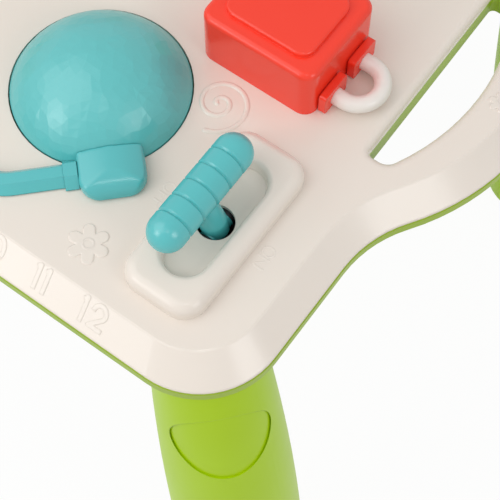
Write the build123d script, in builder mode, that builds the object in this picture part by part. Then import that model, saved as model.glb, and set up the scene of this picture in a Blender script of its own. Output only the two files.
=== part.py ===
"""Activity table: a bevelled play top on a shallow tray with four splayed legs.

Millimetres, +Z up, origin on the floor under the middle of the table, +X along the numbered front edge.
"""

from build123d import *
import math
import os

os.makedirs("parts", exist_ok=True)

# Walls and fits shared by the pieces
wall = 2.5
fit_gap = 0.3
running_clearance = 0.05
overrun = 5
quarter_turn = 90

# Plan and height of the table
half_width = 264
half_depth = 226
corner_radius = 46
deck_height = 400

# Bevelled rim of the top, from its seam with the tray up to the flat deck
bevel_width = 16
rim_drop = 13
deck_corner_radius = 36
rim_profile_shares = ((0.0, 1.0), (0.0, 0.93), (0.02, 0.87), (0.07, 0.82), (0.93, 0.035), (1.0, 0.0))
cavity_profile_shares = ((0.0, 1.0), (0.0, 0.8), (1.0, 0.0))

# Carrying handles, one bow at each end of the table
handle_projection = 38
handle_half_span = 120
handle_fillet_radius = 70
handle_arm = 35
hole_wall_inset = 25
hole_length = 126
hole_arm_radius = 130
hole_end_radius = 8
hole_wall_radius = 3.5
hole_edge_radius = 5
hole_top_depth = 6

# Tray under the top: a proud lip, a floor and a deeper pan for the works
lip_step = 0.6
lip_height = 6
lip_wall = 4
pan_side_inset = 36
pan_front_inset = 14
pan_depth = 36
pan_draft = 6
pan_corner_radius = 40

# Posts that the tray screws join, as shares of the half width and half depth
post_radius = 5
post_seam_drop = 28
post_place_shares = (
    (0.06, -0.8),
    (0.06, 0.85),
    (-0.8, -0.45),
    (-0.8, 0.1),
    (0.8, 0.15),
    (0.55, 0.85),
    (-0.5, 0.85),
)
screw_radius = 1.6
screw_head_radius = 3.2
screw_head_height = 2
screw_grip = 12
screw_clearance = 0.4

# Legs: flared columns on spigots under the corners
leg_side_inset = 39.8
leg_front_inset = 39
leg_top_radius = 28.6
leg_knee_radius = 35.4
leg_foot_radius = 40
leg_knee_drop = 95
leg_splay_x_share = 0.104
leg_splay_y_share = 0.04
leg_wall = 3
leg_floor = 6
scoop_gap = 2.5
spigot_radius = 21
spigot_length = 36
panel_half_width = 27.5
panel_half_height = 35
panel_drop = 75
panel_depth = 1
pad_height = 5
pad_inset = 2
pad_edge = 1.5

# Start lever and the raised bezel it stands in
lever_side_inset = 63.5
lever_front_inset = 82.7
bezel_width = 47
bezel_length = 106
bezel_corner_radius = 13
bezel_height = 10
bezel_round = 6.5
recess_width = 22.4
recess_length = 71
recess_depth = 6.5
recess_flare = 1.6
recess_edge_radius = 3
lever_hole_radius = 10
lever_pivot_drop = 4
lever_lean = 15.3
lever_arm = 32.1
lever_hub_radius = 5
lever_hub_width = 15
stem_base_radius = 7.5
stem_waist_radius = 6.4
stem_neck_radius = 5.6
grip_radius = 10.5
grip_length = 74.5
groove_count = 5
groove_pitch = 10.65
groove_side = 1.5
tail_length = 30
tail_radius = 3
axle_radius = 2.2
ear_thickness = 3.5
ear_half_width = 4.5
bracket_reach = 22
bracket_base = 3
switch_thickness = 8
switch_width = 20
switch_top_drop = 30
switch_gap = 0.4

# Sound dome, its outlet pod and the pipe to the keyboard
dome_side_inset = 161.2
dome_front_inset = 112.7
dome_radius = 48.4
dome_height = 30
dome_wall = 2.2
dome_gap = 0.8
dome_flange = 5
dome_flange_height = 2
lamp_radius = 9
lamp_height = 6
pod_width = 35
pod_reach = 68
pod_root = 36
pod_height = 10.9
pod_crown_radius = 42
pod_shoulder_radius = 2.8
pod_end_depth = 14
pod_corner_radius = 11
foot_seam_height = 0.8
foot_seam_depth = 0.6
pipe_offset = 50.6
pipe_width = 14.3
pipe_height = 6.2
pipe_ridge_share = 0.44
pipe_straight = 26
pipe_bend_radius = 25
collar_length = 7.2
collar_margin = 1.7
pipe_entry_offset = 44

# Red pump box with its white loop pipe
pump_side_inset = 96.5
pump_front_inset = 191
pump_width = 71
pump_depth = 61
pump_height = 39
pump_corner_radius = 8
pump_edge_radius = 3.5
pump_step = 5
pump_step_height = 3
loop_radius = 13.3
loop_pipe_radius = 4.7
loop_height = 6.2
loop_reach = 28
flange_neck = 1
flange_neck_step = 2.2
flange_thickness = 4.2
flange_half = 10
flange_height = 14.5
flange_round = 2

# Keyboard with hinged keys
keyboard_side_inset = 159
keyboard_front_inset = 114
key_count = 5
key_width = 27
key_length = 64
key_space = 3
key_top = 11
key_depth = 13
key_wall = 2.2
key_corner_radius = 4
key_edge_radius = 2
key_travel_angle = 3.8
key_hinge_inset = 5.5
key_axle_radius = 2
key_hinge_height = 3
key_block = 11
housing_margin = 2
housing_rim = 6
housing_height = 7
housing_depth = 16
housing_corner_radius = 9
housing_edge_radius = 2.5
contact_radius = 4

# Gear trio on posts
gear_module = 4
large_teeth = 24
medium_teeth = 16
small_teeth = 12
gear_thickness = 12
gear_web = 6
gear_rim = 4.5
gear_hub_radius = 9.5
gear_window_share = 0.34
large_windows = 6
medium_windows = 5
small_windows = 6
gear_backlash = 0.5
gear_lift = 2
pressure_angle = 20
addendum_share = 0.85
dedendum_share = 1.15
large_side_inset = 114
large_rear_inset = 130
medium_bearing = 10
small_bearing = -25
gear_post_radius = 6
gear_seat_radius = 9
post_tail = 4
gear_cap_radius = 10.5
gear_cap_height = 5
gear_cap_edge = 2.5

# Roller in its frame
roller_side_inset = 124
roller_rear_inset = 118
roller_radius = 28
roller_length = 86
roller_axis_height = 6
roller_end_radius = 23
roller_flute_count = 10
roller_flute_radius = 4
roller_axle_radius = 3
roller_gap = 3
roller_rim = 7
roller_rim_height = 7
roller_cheek_radius = 9
roller_cheek_angle = 40
roller_corner_radius = 10

# Works inside the pan
speaker_x = 10
speaker_y = 25
speaker_radius = 26
speaker_height = 14
speaker_cone_radius = 21
grille_hole_radius = 1.5
grille_rings_shares = (0.28, 0.52, 0.76)
grille_ring_counts = (6, 12, 18)
board_side_inset = 164
board_y = 20
board_length = 90
board_width = 60
board_thickness = 1.6
board_post_height = 8
board_post_radius = 3
board_post_inset = 6
chip_size = 14
cell_radius = 7.25
cell_length = 50.5
cell_count = 3
cell_nub_radius = 2.7
cell_nub = 1.2
battery_side_inset = 134
battery_rear_inset = 126
battery_margin = 2
battery_spring = 5
door_screw_tab = 9
contact_thickness = 0.5

# Places of the stations, the legs and the works, each kept at its distance from the nearest edges
lever_x = half_width - lever_side_inset
lever_y = lever_front_inset - half_depth
dome_x = half_width - dome_side_inset
dome_y = dome_front_inset - half_depth
pump_x = half_width - pump_side_inset
pump_y = pump_front_inset - half_depth
keyboard_x = keyboard_side_inset - half_width
keyboard_y = keyboard_front_inset - half_depth
large_x = large_side_inset - half_width
large_y = half_depth - large_rear_inset
roller_x = half_width - roller_side_inset
roller_y = half_depth - roller_rear_inset
board_x = board_side_inset - half_width
battery_x = half_width - battery_side_inset
battery_y = half_depth - battery_rear_inset
leg_x = half_width - leg_side_inset
leg_y = half_depth - leg_front_inset
pan_half_width = half_width - pan_side_inset
pan_half_depth = half_depth - pan_front_inset

# Bow of a handle, which leaves the table's flank through a fillet on each side
handle_reach = half_width + handle_projection
handle_sweep = (handle_projection**2 + handle_half_span**2) / (2 * handle_projection)
handle_bow_radius = handle_sweep - handle_fillet_radius
hole_wall_x = half_width - hole_wall_inset
hole_width = handle_reach - handle_arm - hole_wall_x

# Heights that the pieces share
seam_z = deck_height - rim_drop
lip_z = seam_z - lip_height
tray_floor_z = lip_z + wall
pan_z = lip_z - pan_depth
pan_floor_z = pan_z + wall
deck_under_z = deck_height - wall
post_seam_z = deck_height - post_seam_drop
post_places = [(x * half_width, y * half_depth) for x, y in post_place_shares]
corner_signs = ((1, -1), (-1, -1), (1, 1), (-1, 1))
corner_names = ("front_right", "front_left", "rear_right", "rear_left")


def at(height):
    """Level plane at a height above the floor."""
    return Plane.XY.offset(height)


def table_plan(inset, corner):
    """Plan of the table drawn in by inset: rounded corners and a bowed handle at each end."""
    side = half_width - inset
    front = half_depth - inset
    bow = handle_bow_radius - inset
    bow_x = handle_reach - handle_bow_radius
    lean = math.asin(handle_half_span / handle_sweep)
    meet = (bow_x + bow * math.cos(lean), -bow * math.sin(lean))
    with BuildSketch() as plan:
        with BuildLine():
            edge = Line((0, -front), (side - corner, -front))
            bend = TangentArc(edge @ 1, (side, corner - front), tangent=edge % 1)
            flank = Line(bend @ 1, (side, -handle_half_span))
            turn = TangentArc(flank @ 1, meet, tangent=flank % 1)
            TangentArc(turn @ 1, (bow_x + bow, 0), tangent=turn % 1)
            mirror(about=Plane.XZ)
            mirror(about=Plane.YZ)
        make_face()
    return plan.sketch


def hole_plan(grow):
    """Plan of both handle holes, drawn out by grow."""
    with BuildSketch() as plan:
        with BuildLine():
            wall_x = hole_wall_x - grow
            reach = hole_wall_x + hole_width + grow
            half = hole_length / 2 + grow
            bow = hole_arm_radius + grow
            end_x = reach - bow + math.sqrt(bow**2 - half**2)
            ThreePointArc((end_x, -half), (reach, 0), (end_x, half))
            Polyline((end_x, half), (wall_x, half), (wall_x, -half), (end_x, -half))
        make_face()
        fillet(plan.vertices().sort_by(Axis.X)[-2:], hole_end_radius + grow)
        fillet(plan.vertices().sort_by(Axis.X)[:2], hole_wall_radius + grow)
        mirror(about=Plane.YZ)
    return plan.sketch


def rounded(x, y, width, length, radius):
    """Plan of a rectangle with rounded corners about a place."""
    with BuildSketch() as plan:
        with Locations((x, y)):
            RectangleRounded(width, length, radius)
    return plan.sketch


def pan_plan(inset):
    """Plan of the pan drawn in by inset."""
    width = 2 * (pan_half_width - inset)
    length = 2 * (pan_half_depth - inset)
    return rounded(0, 0, width, length, pan_corner_radius - inset)


# Leg frame: the middle of the leg's top rim, and the leaning line of the front right leg
leg_top = Vector(leg_x, -leg_y, lip_z)
leg_up = Vector(-leg_splay_x_share, leg_splay_y_share, 1).normalized()
leg_side = (Vector(1, 0, 0) - leg_up * Vector(1, 0, 0).dot(leg_up)).normalized()
leg_plane = Plane(leg_top, x_dir=leg_side, z_dir=leg_side.cross(leg_up))
leg_run = (lip_z - pad_height) / leg_up.Z


def leg_section(grow, top, bottom):
    """Half section of the leg column from above its rim to a depth, drawn out by grow."""
    with BuildSketch() as section:
        with BuildLine():
            head = Line((0, top), (leg_top_radius + grow, top))
            neck = Line(head @ 1, (leg_top_radius + grow, 0))
            knee = (leg_knee_radius + grow, -leg_knee_drop)
            shin = ThreePointArc(neck @ 1, knee, (leg_foot_radius + grow, bottom))
            Line(shin @ 1, (0, bottom))
            Line((0, bottom), (0, top))
        make_face()
    return section.sketch


# Hollow under the deck, open at the seam
with BuildPart() as top_cavity:
    for across_share, drop_share in cavity_profile_shares:
        opening = overrun if drop_share == 1 else 0
        with BuildSketch(at(deck_under_z - drop_share * rim_drop - opening)):
            corner = corner_radius + across_share * (deck_corner_radius - corner_radius)
            add(table_plan(lip_step + wall + across_share * bevel_width, corner - lip_step - wall))
    loft(ruled=True)

# Play top: bevelled rim, handle holes, raised lever bezel and the cut-outs for the stations
lever_pivot_z = deck_height - lever_pivot_drop
bezel_top_z = deck_height + bezel_height
recess_floor_z = bezel_top_z - recess_depth
keys_width = key_count * (key_width + key_space) - key_space
housing_inner_width = keys_width + 2 * housing_margin
housing_inner_length = key_length + 2 * housing_margin
roller_inner_length = roller_length + 2 * roller_gap
roller_inner_width = 2 * (roller_radius + roller_gap)
large_radius = gear_module * large_teeth / 2
medium_radius = gear_module * medium_teeth / 2
small_radius = gear_module * small_teeth / 2
medium_x = large_x + (large_radius + medium_radius) * math.cos(math.radians(medium_bearing))
medium_y = large_y + (large_radius + medium_radius) * math.sin(math.radians(medium_bearing))
small_x = medium_x + (medium_radius + small_radius) * math.cos(math.radians(small_bearing))
small_y = medium_y + (medium_radius + small_radius) * math.sin(math.radians(small_bearing))
gear_places = ((large_x, large_y), (medium_x, medium_y), (small_x, small_y))


def keyboard_plan(margin, radius):
    """Plan of the keyboard's well, wider and longer by margin."""
    width = housing_inner_width + margin
    length = housing_inner_length + margin
    return rounded(keyboard_x, keyboard_y, width, length, radius)


def roller_plan(margin, radius):
    """Plan of the roller's well, wider and longer by margin."""
    width = roller_inner_length + margin
    length = roller_inner_width + margin
    return rounded(roller_x, roller_y, width, length, radius)


with BuildPart() as top_shell:
    for across_share, drop_share in rim_profile_shares:
        with BuildSketch(at(deck_height - drop_share * rim_drop)):
            corner = corner_radius + across_share * (deck_corner_radius - corner_radius)
            add(table_plan(lip_step + across_share * bevel_width, corner - lip_step))
    loft(ruled=True)
    add(top_cavity.part, mode=Mode.SUBTRACT)
    with BuildSketch(at(deck_height)):
        add(hole_plan(hole_edge_radius + wall))
    extrude(amount=-hole_top_depth)
    with BuildSketch(at(deck_height)):
        add(hole_plan(0))
    extrude(amount=-rim_drop, mode=Mode.SUBTRACT)
    deck_face = top_shell.faces().filter_by(Plane.XY).sort_by(Axis.Z)[-1]
    fillet(deck_face.inner_wires().edges(), radius=hole_edge_radius)
    with BuildSketch(at(deck_height)):
        add(rounded(lever_x, lever_y, bezel_width, bezel_length, bezel_corner_radius))
    extrude(amount=bezel_height)
    bezel_face = top_shell.faces().filter_by(Plane.XY).sort_by(Axis.Z)[-1]
    fillet(bezel_face.outer_wire().edges(), radius=bezel_round)
    with BuildSketch(at(recess_floor_z)):
        with Locations((lever_x, lever_y)):
            SlotOverall(recess_length, recess_width, rotation=quarter_turn)
    with BuildSketch(at(bezel_top_z)):
        with Locations((lever_x, lever_y)):
            flare = 2 * recess_flare
            SlotOverall(recess_length + flare, recess_width + flare, rotation=quarter_turn)
    loft(ruled=True, mode=Mode.SUBTRACT)
    bezel_face = top_shell.faces().filter_by(Plane.XY).sort_by(Axis.Z)[-1]
    fillet(bezel_face.inner_wires().edges(), radius=recess_edge_radius)
    with BuildSketch(at(deck_under_z)):
        core = 2 * (bezel_round + wall)
        core_corner = bezel_corner_radius - bezel_round
        add(rounded(lever_x, lever_y, bezel_width - core, bezel_length - core, core_corner))
    extrude(amount=recess_floor_z - wall - deck_under_z, mode=Mode.SUBTRACT)
    with BuildSketch(at(recess_floor_z)):
        with Locations((lever_x, lever_y)):
            Circle(lever_hole_radius)
    extrude(amount=-wall, mode=Mode.SUBTRACT)
    with BuildSketch(at(deck_under_z)):
        with Locations(*post_places):
            Circle(post_radius)
    extrude(amount=post_seam_z - deck_under_z)
    with BuildSketch(at(post_seam_z)):
        with Locations(*post_places):
            Circle(screw_radius + running_clearance)
    extrude(amount=screw_grip, mode=Mode.SUBTRACT)
    with BuildSketch(at(deck_height)):
        with Locations((dome_x, dome_y)):
            Circle(dome_radius + dome_gap)
        add(keyboard_plan(2 * (wall + fit_gap), housing_corner_radius))
        add(roller_plan(2 * (wall + fit_gap), roller_corner_radius))
        with Locations(*gear_places):
            Circle(gear_post_radius + fit_gap)
    extrude(amount=-wall, mode=Mode.SUBTRACT)
top_shell.part.label = "top_shell"
export_step(top_shell.part, "parts/top_shell.step")

# Room inside the pan, kept clear of the scoops round the legs
leg_places = [(x * leg_x, y * leg_y) for x, y in corner_signs]
scoop_radius = leg_top_radius + scoop_gap
with BuildPart() as pan_cavity:
    for height, inset in ((seam_z + overrun, wall), (pan_floor_z, wall + pan_draft)):
        with BuildSketch(at(height)):
            add(pan_plan(inset))
    loft(ruled=True)
    with BuildSketch(at(pan_floor_z)):
        with Locations(*leg_places):
            Circle(scoop_radius + wall)
    extrude(amount=tray_floor_z - pan_floor_z, mode=Mode.SUBTRACT)

# Spigots that carry the legs, leaning with them
leg_axis = Axis(leg_top, leg_up)
with BuildPart() as spigots:
    with BuildSketch(leg_plane):
        with Locations((spigot_radius - leg_wall / 2, (overrun - spigot_length) / 2)):
            Rectangle(leg_wall, spigot_length + overrun)
    revolve(axis=leg_axis)
    split(bisect_by=at(tray_floor_z), keep=Keep.BOTTOM)
    mirror(about=Plane.YZ)
    mirror(about=Plane.XZ)

# Tray: proud lip, floor, pan, handle walls, screw posts, sound grille and battery opening
battery_inner_length = cell_length + cell_nub + battery_spring + battery_margin
battery_inner_width = 2 * cell_radius * cell_count + battery_margin
battery_inner_height = 2 * cell_radius + battery_margin
battery_mouth_length = battery_inner_length + door_screw_tab
battery_mouth_x = battery_x + door_screw_tab / 2
board_reach_x = board_length / 2 - board_post_inset
board_reach_y = board_width / 2 - board_post_inset
board_places = [(board_x + x * board_reach_x, board_y + y * board_reach_y) for x, y in corner_signs]
with BuildPart() as base_tray:
    with BuildSketch(at(lip_z)):
        add(table_plan(0, corner_radius))
    extrude(amount=lip_height)
    with BuildSketch(at(tray_floor_z)):
        add(table_plan(lip_wall, corner_radius - lip_wall))
    extrude(amount=lip_height, mode=Mode.SUBTRACT)
    for height, inset in ((tray_floor_z, 0), (pan_z, pan_draft)):
        with BuildSketch(at(height)):
            add(pan_plan(inset))
    loft(ruled=True)
    with BuildSketch(at(pan_z)):
        with Locations(*leg_places):
            Circle(scoop_radius)
    extrude(amount=pan_depth, mode=Mode.SUBTRACT)
    add(pan_cavity.part, mode=Mode.SUBTRACT)
    add(spigots.part)
    with BuildSketch(at(lip_z)):
        add(hole_plan(wall))
    extrude(amount=deck_height - hole_top_depth - lip_z)
    with BuildSketch(at(lip_z)):
        add(hole_plan(0))
    extrude(amount=deck_height - lip_z, mode=Mode.SUBTRACT)
    with BuildSketch(at(pan_floor_z)):
        with Locations(*post_places):
            Circle(post_radius)
    extrude(amount=post_seam_z - pan_floor_z)
    with BuildSketch(at(pan_z)):
        with Locations(*post_places):
            Circle(screw_radius + screw_clearance)
    extrude(amount=post_seam_z - pan_z, mode=Mode.SUBTRACT)
    with BuildSketch(at(pan_z)):
        with Locations(*post_places):
            Circle(screw_head_radius + screw_clearance)
    extrude(amount=screw_head_height, mode=Mode.SUBTRACT)
    with BuildSketch(at(pan_floor_z)):
        with Locations(*board_places):
            Circle(board_post_radius)
    extrude(amount=board_post_height)
    with BuildSketch(at(pan_z)):
        with Locations((speaker_x, speaker_y)):
            Circle(grille_hole_radius)
            for ring_share, ring_count in zip(grille_rings_shares, grille_ring_counts):
                with PolarLocations(ring_share * speaker_cone_radius, ring_count):
                    Circle(grille_hole_radius)
        with Locations((battery_mouth_x, battery_y)):
            Rectangle(battery_mouth_length, battery_inner_width)
    extrude(amount=wall, mode=Mode.SUBTRACT)
base_tray.part.label = "base_tray"
export_step(base_tray.part, "parts/base_tray.step")

# Screws that hold the tray to the top
with BuildPart() as tray_screws:
    with BuildSketch(at(pan_z)):
        with Locations(*post_places):
            Circle(screw_head_radius)
    extrude(amount=screw_head_height)
    with BuildSketch(at(pan_z + screw_head_height)):
        with Locations(*post_places):
            Circle(screw_radius)
    extrude(amount=post_seam_z + screw_grip - pan_z - screw_head_height - fit_gap)
tray_screws.part.label = "tray_screws"
export_step(tray_screws.part, "parts/tray_screws.step")

# Hollow of a leg: the socket round its spigot and the room below
with BuildPart() as leg_cavity:
    with BuildSketch(leg_plane):
        add(leg_section(-leg_wall, overrun, leg_floor - leg_run))
    revolve(axis=leg_axis)
    with BuildSketch(leg_plane):
        with Locations((leg_foot_radius / 2, (2 * overrun - spigot_length) / 2)):
            Rectangle(leg_foot_radius, spigot_length + 2 * overrun)
    revolve(axis=leg_axis, mode=Mode.SUBTRACT)
    with BuildSketch(leg_plane):
        with Locations(((spigot_radius + fit_gap) / 2, -spigot_length / 2)):
            Rectangle(spigot_radius + fit_gap, spigot_length + 2 * overrun)
    revolve(axis=leg_axis)

# Shallow oval panel, sunk into the leg where it faces out from the corner
corner_out = Vector(1, -1, 0)
panel_out = (corner_out - leg_up * corner_out.dot(leg_up)).normalized()
panel_plane = Plane(leg_top - leg_up * panel_drop, x_dir=leg_up.cross(panel_out), z_dir=panel_out)
with BuildPart() as leg_panel:
    with BuildSketch(leg_plane):
        add(leg_section(overrun, overrun, -leg_run))
        add(leg_section(-panel_depth, 2 * overrun, -leg_run - overrun), mode=Mode.SUBTRACT)
    revolve(axis=leg_axis)
    with BuildSketch(panel_plane):
        Ellipse(panel_half_width, panel_half_height)
    extrude(amount=2 * leg_foot_radius, mode=Mode.INTERSECT)

# Front right leg, then the other three as its mirror images
with BuildPart() as leg_front_right:
    with BuildSketch(leg_plane):
        add(leg_section(0, overrun, -leg_run - overrun))
    revolve(axis=leg_axis)
    add(leg_panel.part, mode=Mode.SUBTRACT)
    add(leg_cavity.part, mode=Mode.SUBTRACT)
    split(bisect_by=at(lip_z), keep=Keep.BOTTOM)
    split(bisect_by=at(pad_height), keep=Keep.TOP)
leg_front_left = mirror(leg_front_right.part, about=Plane.YZ)
leg_rear_right = mirror(leg_front_right.part, about=Plane.XZ)
leg_rear_left = mirror(leg_front_left, about=Plane.XZ)
legs = (leg_front_right.part, leg_front_left, leg_rear_right, leg_rear_left)
for corner_name, leg in zip(corner_names, legs):
    leg.label = "leg_" + corner_name
    export_step(leg, f"parts/leg_{corner_name}.step")

# Soft pads under the feet
foot_middle = leg_top - leg_up * leg_run
with BuildPart() as foot_pads:
    with BuildSketch():
        with Locations(*[(x * foot_middle.X, -y * foot_middle.Y) for x, y in corner_signs]):
            Circle(leg_foot_radius - pad_inset)
    extrude(amount=pad_height)
    chamfer(foot_pads.edges().group_by(Axis.Z)[0], length=pad_edge)
foot_pads.part.label = "foot_pads"
export_step(foot_pads.part, "parts/foot_pads.step")

# Start lever: grooved grip on a tapered stem that grows out of a hub on the axle
lever_pivot = Vector(lever_x, lever_y, lever_pivot_z)
lean_sine = math.sin(math.radians(lever_lean))
lean_cosine = math.cos(math.radians(lever_lean))
lever_up = Vector(-lean_sine, 0, lean_cosine)
lever_plane = Plane(lever_pivot, x_dir=(lean_cosine, 0, lean_sine), z_dir=(0, -1, 0))
grip_middle = lever_pivot + lever_up * lever_arm
stem_top = lever_arm - grip_radius / 2
stem_foot = (recess_floor_z - lever_pivot_z) / lean_cosine
stem_waist = (stem_waist_radius, (stem_foot + stem_top) / 2)
with BuildPart() as lever:
    with Locations(lever_pivot):
        Cylinder(lever_hub_radius, lever_hub_width, rotation=(quarter_turn, 0, 0))
    with BuildSketch(Plane(lever_pivot, z_dir=-lever_up)):
        Circle(tail_radius)
    extrude(amount=tail_length)
    with BuildSketch(lever_plane):
        with BuildLine():
            flank = ThreePointArc(
                (stem_base_radius, stem_foot),
                stem_waist,
                (stem_neck_radius, stem_top),
            )
            Polyline(flank @ 1, (0, stem_top), (0, 0), (stem_base_radius - fit_gap, 0), flank @ 0)
        make_face()
    revolve(axis=Axis(lever_pivot, lever_up))
    with BuildSketch(Plane(grip_middle, x_dir=(1, 0, 0), z_dir=(0, 0, 1))):
        SlotOverall(grip_length, 2 * grip_radius, rotation=quarter_turn)
        with Locations((grip_radius, 0)):
            with GridLocations(0, groove_pitch, 1, groove_count):
                Rectangle(groove_side, groove_side, rotation=quarter_turn / 2, mode=Mode.SUBTRACT)
        split(bisect_by=Plane.YZ, keep=Keep.TOP)
    revolve(axis=Axis(grip_middle, (0, 1, 0)))
    with Locations(lever_pivot):
        Cylinder(
            axle_radius + running_clearance,
            2 * lever_hub_width,
            rotation=(quarter_turn, 0, 0),
            mode=Mode.SUBTRACT,
        )
lever.part.label = "lever"
export_step(lever.part, "parts/lever.step")

# Bracket with two ears that carry the lever's axle
ear_inner = lever_hub_width / 2 + fit_gap
ear_outer = ear_inner + ear_thickness
ear_plane = Plane(lever_pivot, x_dir=(1, 0, 0), z_dir=(0, -1, 0))
bracket_drop = lever_pivot_z - pan_floor_z
bracket_left = lever_x - bracket_reach
bracket_width = bracket_reach + ear_half_width
with BuildPart() as lever_bracket:
    with BuildSketch(ear_plane):
        Circle(ear_half_width)
        with Locations((0, -bracket_drop / 2)):
            Rectangle(2 * ear_half_width, bracket_drop)
    extrude(amount=ear_outer, both=True)
    with BuildSketch(ear_plane):
        with Locations((0, ear_half_width - bracket_drop / 2)):
            Rectangle(4 * ear_half_width, bracket_drop + 2 * (ear_half_width - bracket_base))
    extrude(amount=ear_inner, both=True, mode=Mode.SUBTRACT)
    with BuildSketch(at(pan_floor_z)):
        with Locations((bracket_left + bracket_width / 2, lever_y)):
            Rectangle(bracket_width, 2 * ear_outer)
    extrude(amount=bracket_base)
    with Locations(lever_pivot):
        Cylinder(
            axle_radius + running_clearance,
            4 * ear_outer,
            rotation=(quarter_turn, 0, 0),
            mode=Mode.SUBTRACT,
        )
lever_bracket.part.label = "lever_bracket"
export_step(lever_bracket.part, "parts/lever_bracket.step")

with BuildPart() as lever_axle:
    with Locations(lever_pivot):
        Cylinder(axle_radius, 2 * ear_outer, rotation=(quarter_turn, 0, 0))
lever_axle.part.label = "lever_axle"
export_step(lever_axle.part, "parts/lever_axle.step")

# Switch that the lever's tail presses when the lever is on
switch_face = lever_x - tail_length * lean_sine - tail_radius - switch_gap
with BuildPart() as lever_switch:
    with BuildSketch(at(pan_floor_z + bracket_base)):
        with Locations((switch_face - switch_thickness / 2, lever_y)):
            Rectangle(switch_thickness, switch_width)
    extrude(amount=deck_height - switch_top_drop - pan_floor_z - bracket_base)
lever_switch.part.label = "lever_switch"
export_step(lever_switch.part, "parts/lever_switch.step")

# Sound dome: a thin cap with a flange under the deck
dome_plane = Plane((dome_x, dome_y, deck_height), x_dir=(1, 0, 0), z_dir=(0, -1, 0))
dome_axis = Axis((dome_x, dome_y, 0), (0, 0, 1))


def cap_middle(radius, height):
    """Point half way along the arc of a cap's half section."""
    ball = (radius**2 + height**2) / (2 * height)
    half_angle = math.asin(radius / ball) / 2
    return (ball * math.sin(half_angle), height - ball * (1 - math.cos(half_angle)))


with BuildPart() as sound_dome:
    inner_radius = dome_radius - dome_wall
    inner_height = dome_height - dome_wall
    flange_z = -wall - dome_flange_height
    with BuildSketch(dome_plane):
        with BuildLine():
            ThreePointArc((0, dome_height), cap_middle(dome_radius, dome_height), (dome_radius, 0))
            ThreePointArc((0, inner_height), cap_middle(inner_radius, inner_height), (inner_radius, 0))
            Polyline(
                (dome_radius, 0),
                (dome_radius, -wall),
                (dome_radius + dome_flange, -wall),
                (dome_radius + dome_flange, flange_z),
                (inner_radius, flange_z),
                (inner_radius, 0),
            )
            Line((0, inner_height), (0, dome_height))
        make_face()
    revolve(axis=dome_axis)
sound_dome.part.label = "sound_dome"
export_step(sound_dome.part, "parts/sound_dome.step")

# Lamp board closing the dome from below, and its lamp
lamp_board_z = deck_under_z - dome_flange_height - board_thickness
with BuildPart() as lamp_board:
    with BuildSketch(at(lamp_board_z)):
        with Locations((dome_x, dome_y)):
            Circle(dome_radius + dome_flange)
    extrude(amount=board_thickness)
lamp_board.part.label = "lamp_board"
export_step(lamp_board.part, "parts/lamp_board.step")

with BuildPart() as dome_lamp:
    with BuildSketch(at(lamp_board_z + board_thickness)):
        with Locations((dome_x, dome_y)):
            Circle(lamp_radius)
    extrude(amount=lamp_height)
    fillet(dome_lamp.edges().group_by(Axis.Z)[-1], radius=lamp_height / 2)
dome_lamp.part.label = "dome_lamp"
export_step(dome_lamp.part, "parts/dome_lamp.step")

# Outlet pod: a crowned block with a rounded end, seated on the deck against the dome's flank
along = Vector(1, 1, 0).normalized()
outward = Vector(1, -1, 0).normalized()
dome_middle = Vector(dome_x, dome_y, deck_height)
with BuildPart() as dome_room:
    with BuildSketch(dome_plane):
        with BuildLine():
            room_radius = dome_radius + fit_gap
            room_height = dome_height + fit_gap
            ThreePointArc((0, room_height), cap_middle(room_radius, room_height), (room_radius, 0))
            Polyline((room_radius, 0), (0, 0), (0, room_height))
        make_face()
    revolve(axis=dome_axis)
pod_plane = Plane(dome_middle, x_dir=along, z_dir=(0, 0, 1))
pod_half = pod_width / 2
pod_shoulder = pod_height - pod_crown_radius + math.sqrt(pod_crown_radius**2 - pod_half**2)


def pod_plan(inset):
    """Plan of the pod drawn in by inset, with rounded outer corners."""
    with BuildSketch() as plan:
        with Locations((0, -(pod_reach + pod_root) / 2)):
            Rectangle(pod_width - 2 * inset, pod_reach - pod_root - 2 * inset)
        fillet(plan.vertices().sort_by(Axis.Y)[:2], radius=pod_corner_radius - inset)
    return plan.sketch


with BuildPart() as elbow_pod:
    with BuildSketch(pod_plane):
        add(pod_plan(foot_seam_depth))
    extrude(amount=pod_height)
    with BuildSketch(pod_plane.offset(foot_seam_height)):
        add(pod_plan(0))
    extrude(amount=pod_height)
    with BuildSketch(Plane(dome_middle, x_dir=along, z_dir=outward)):
        with BuildLine():
            ThreePointArc((-pod_half, pod_shoulder), (0, pod_height), (pod_half, pod_shoulder))
            Polyline((pod_half, pod_shoulder), (pod_half, 0), (-pod_half, 0), (-pod_half, pod_shoulder))
        make_face()
    extrude(amount=pod_reach, mode=Mode.INTERSECT)
    with BuildSketch(Plane(dome_middle, x_dir=outward, z_dir=-along)):
        with BuildLine():
            pod_end = (pod_reach - pod_end_depth, 0)
            nose = EllipticalCenterArc(pod_end, pod_end_depth, pod_height, arc_size=quarter_turn)
            Polyline(nose @ 1, (0, pod_height), (0, 0), nose @ 0)
        make_face()
    extrude(amount=pod_half, both=True, mode=Mode.INTERSECT)
    pod_axis = Axis(dome_middle, outward)
    shoulders = elbow_pod.edges().filter_by(Axis.Z, reverse=True)
    shoulders = shoulders.filter_by_position(Axis.Z, deck_height + 2 * foot_seam_height, math.inf)
    shoulders = shoulders.filter_by_position(pod_axis, pod_root + overrun, pod_reach)
    fillet(shoulders, radius=pod_shoulder_radius)
    add(dome_room.part, mode=Mode.SUBTRACT)
elbow_pod.part.label = "elbow_pod"
export_step(elbow_pod.part, "parts/elbow_pod.step")


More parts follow.
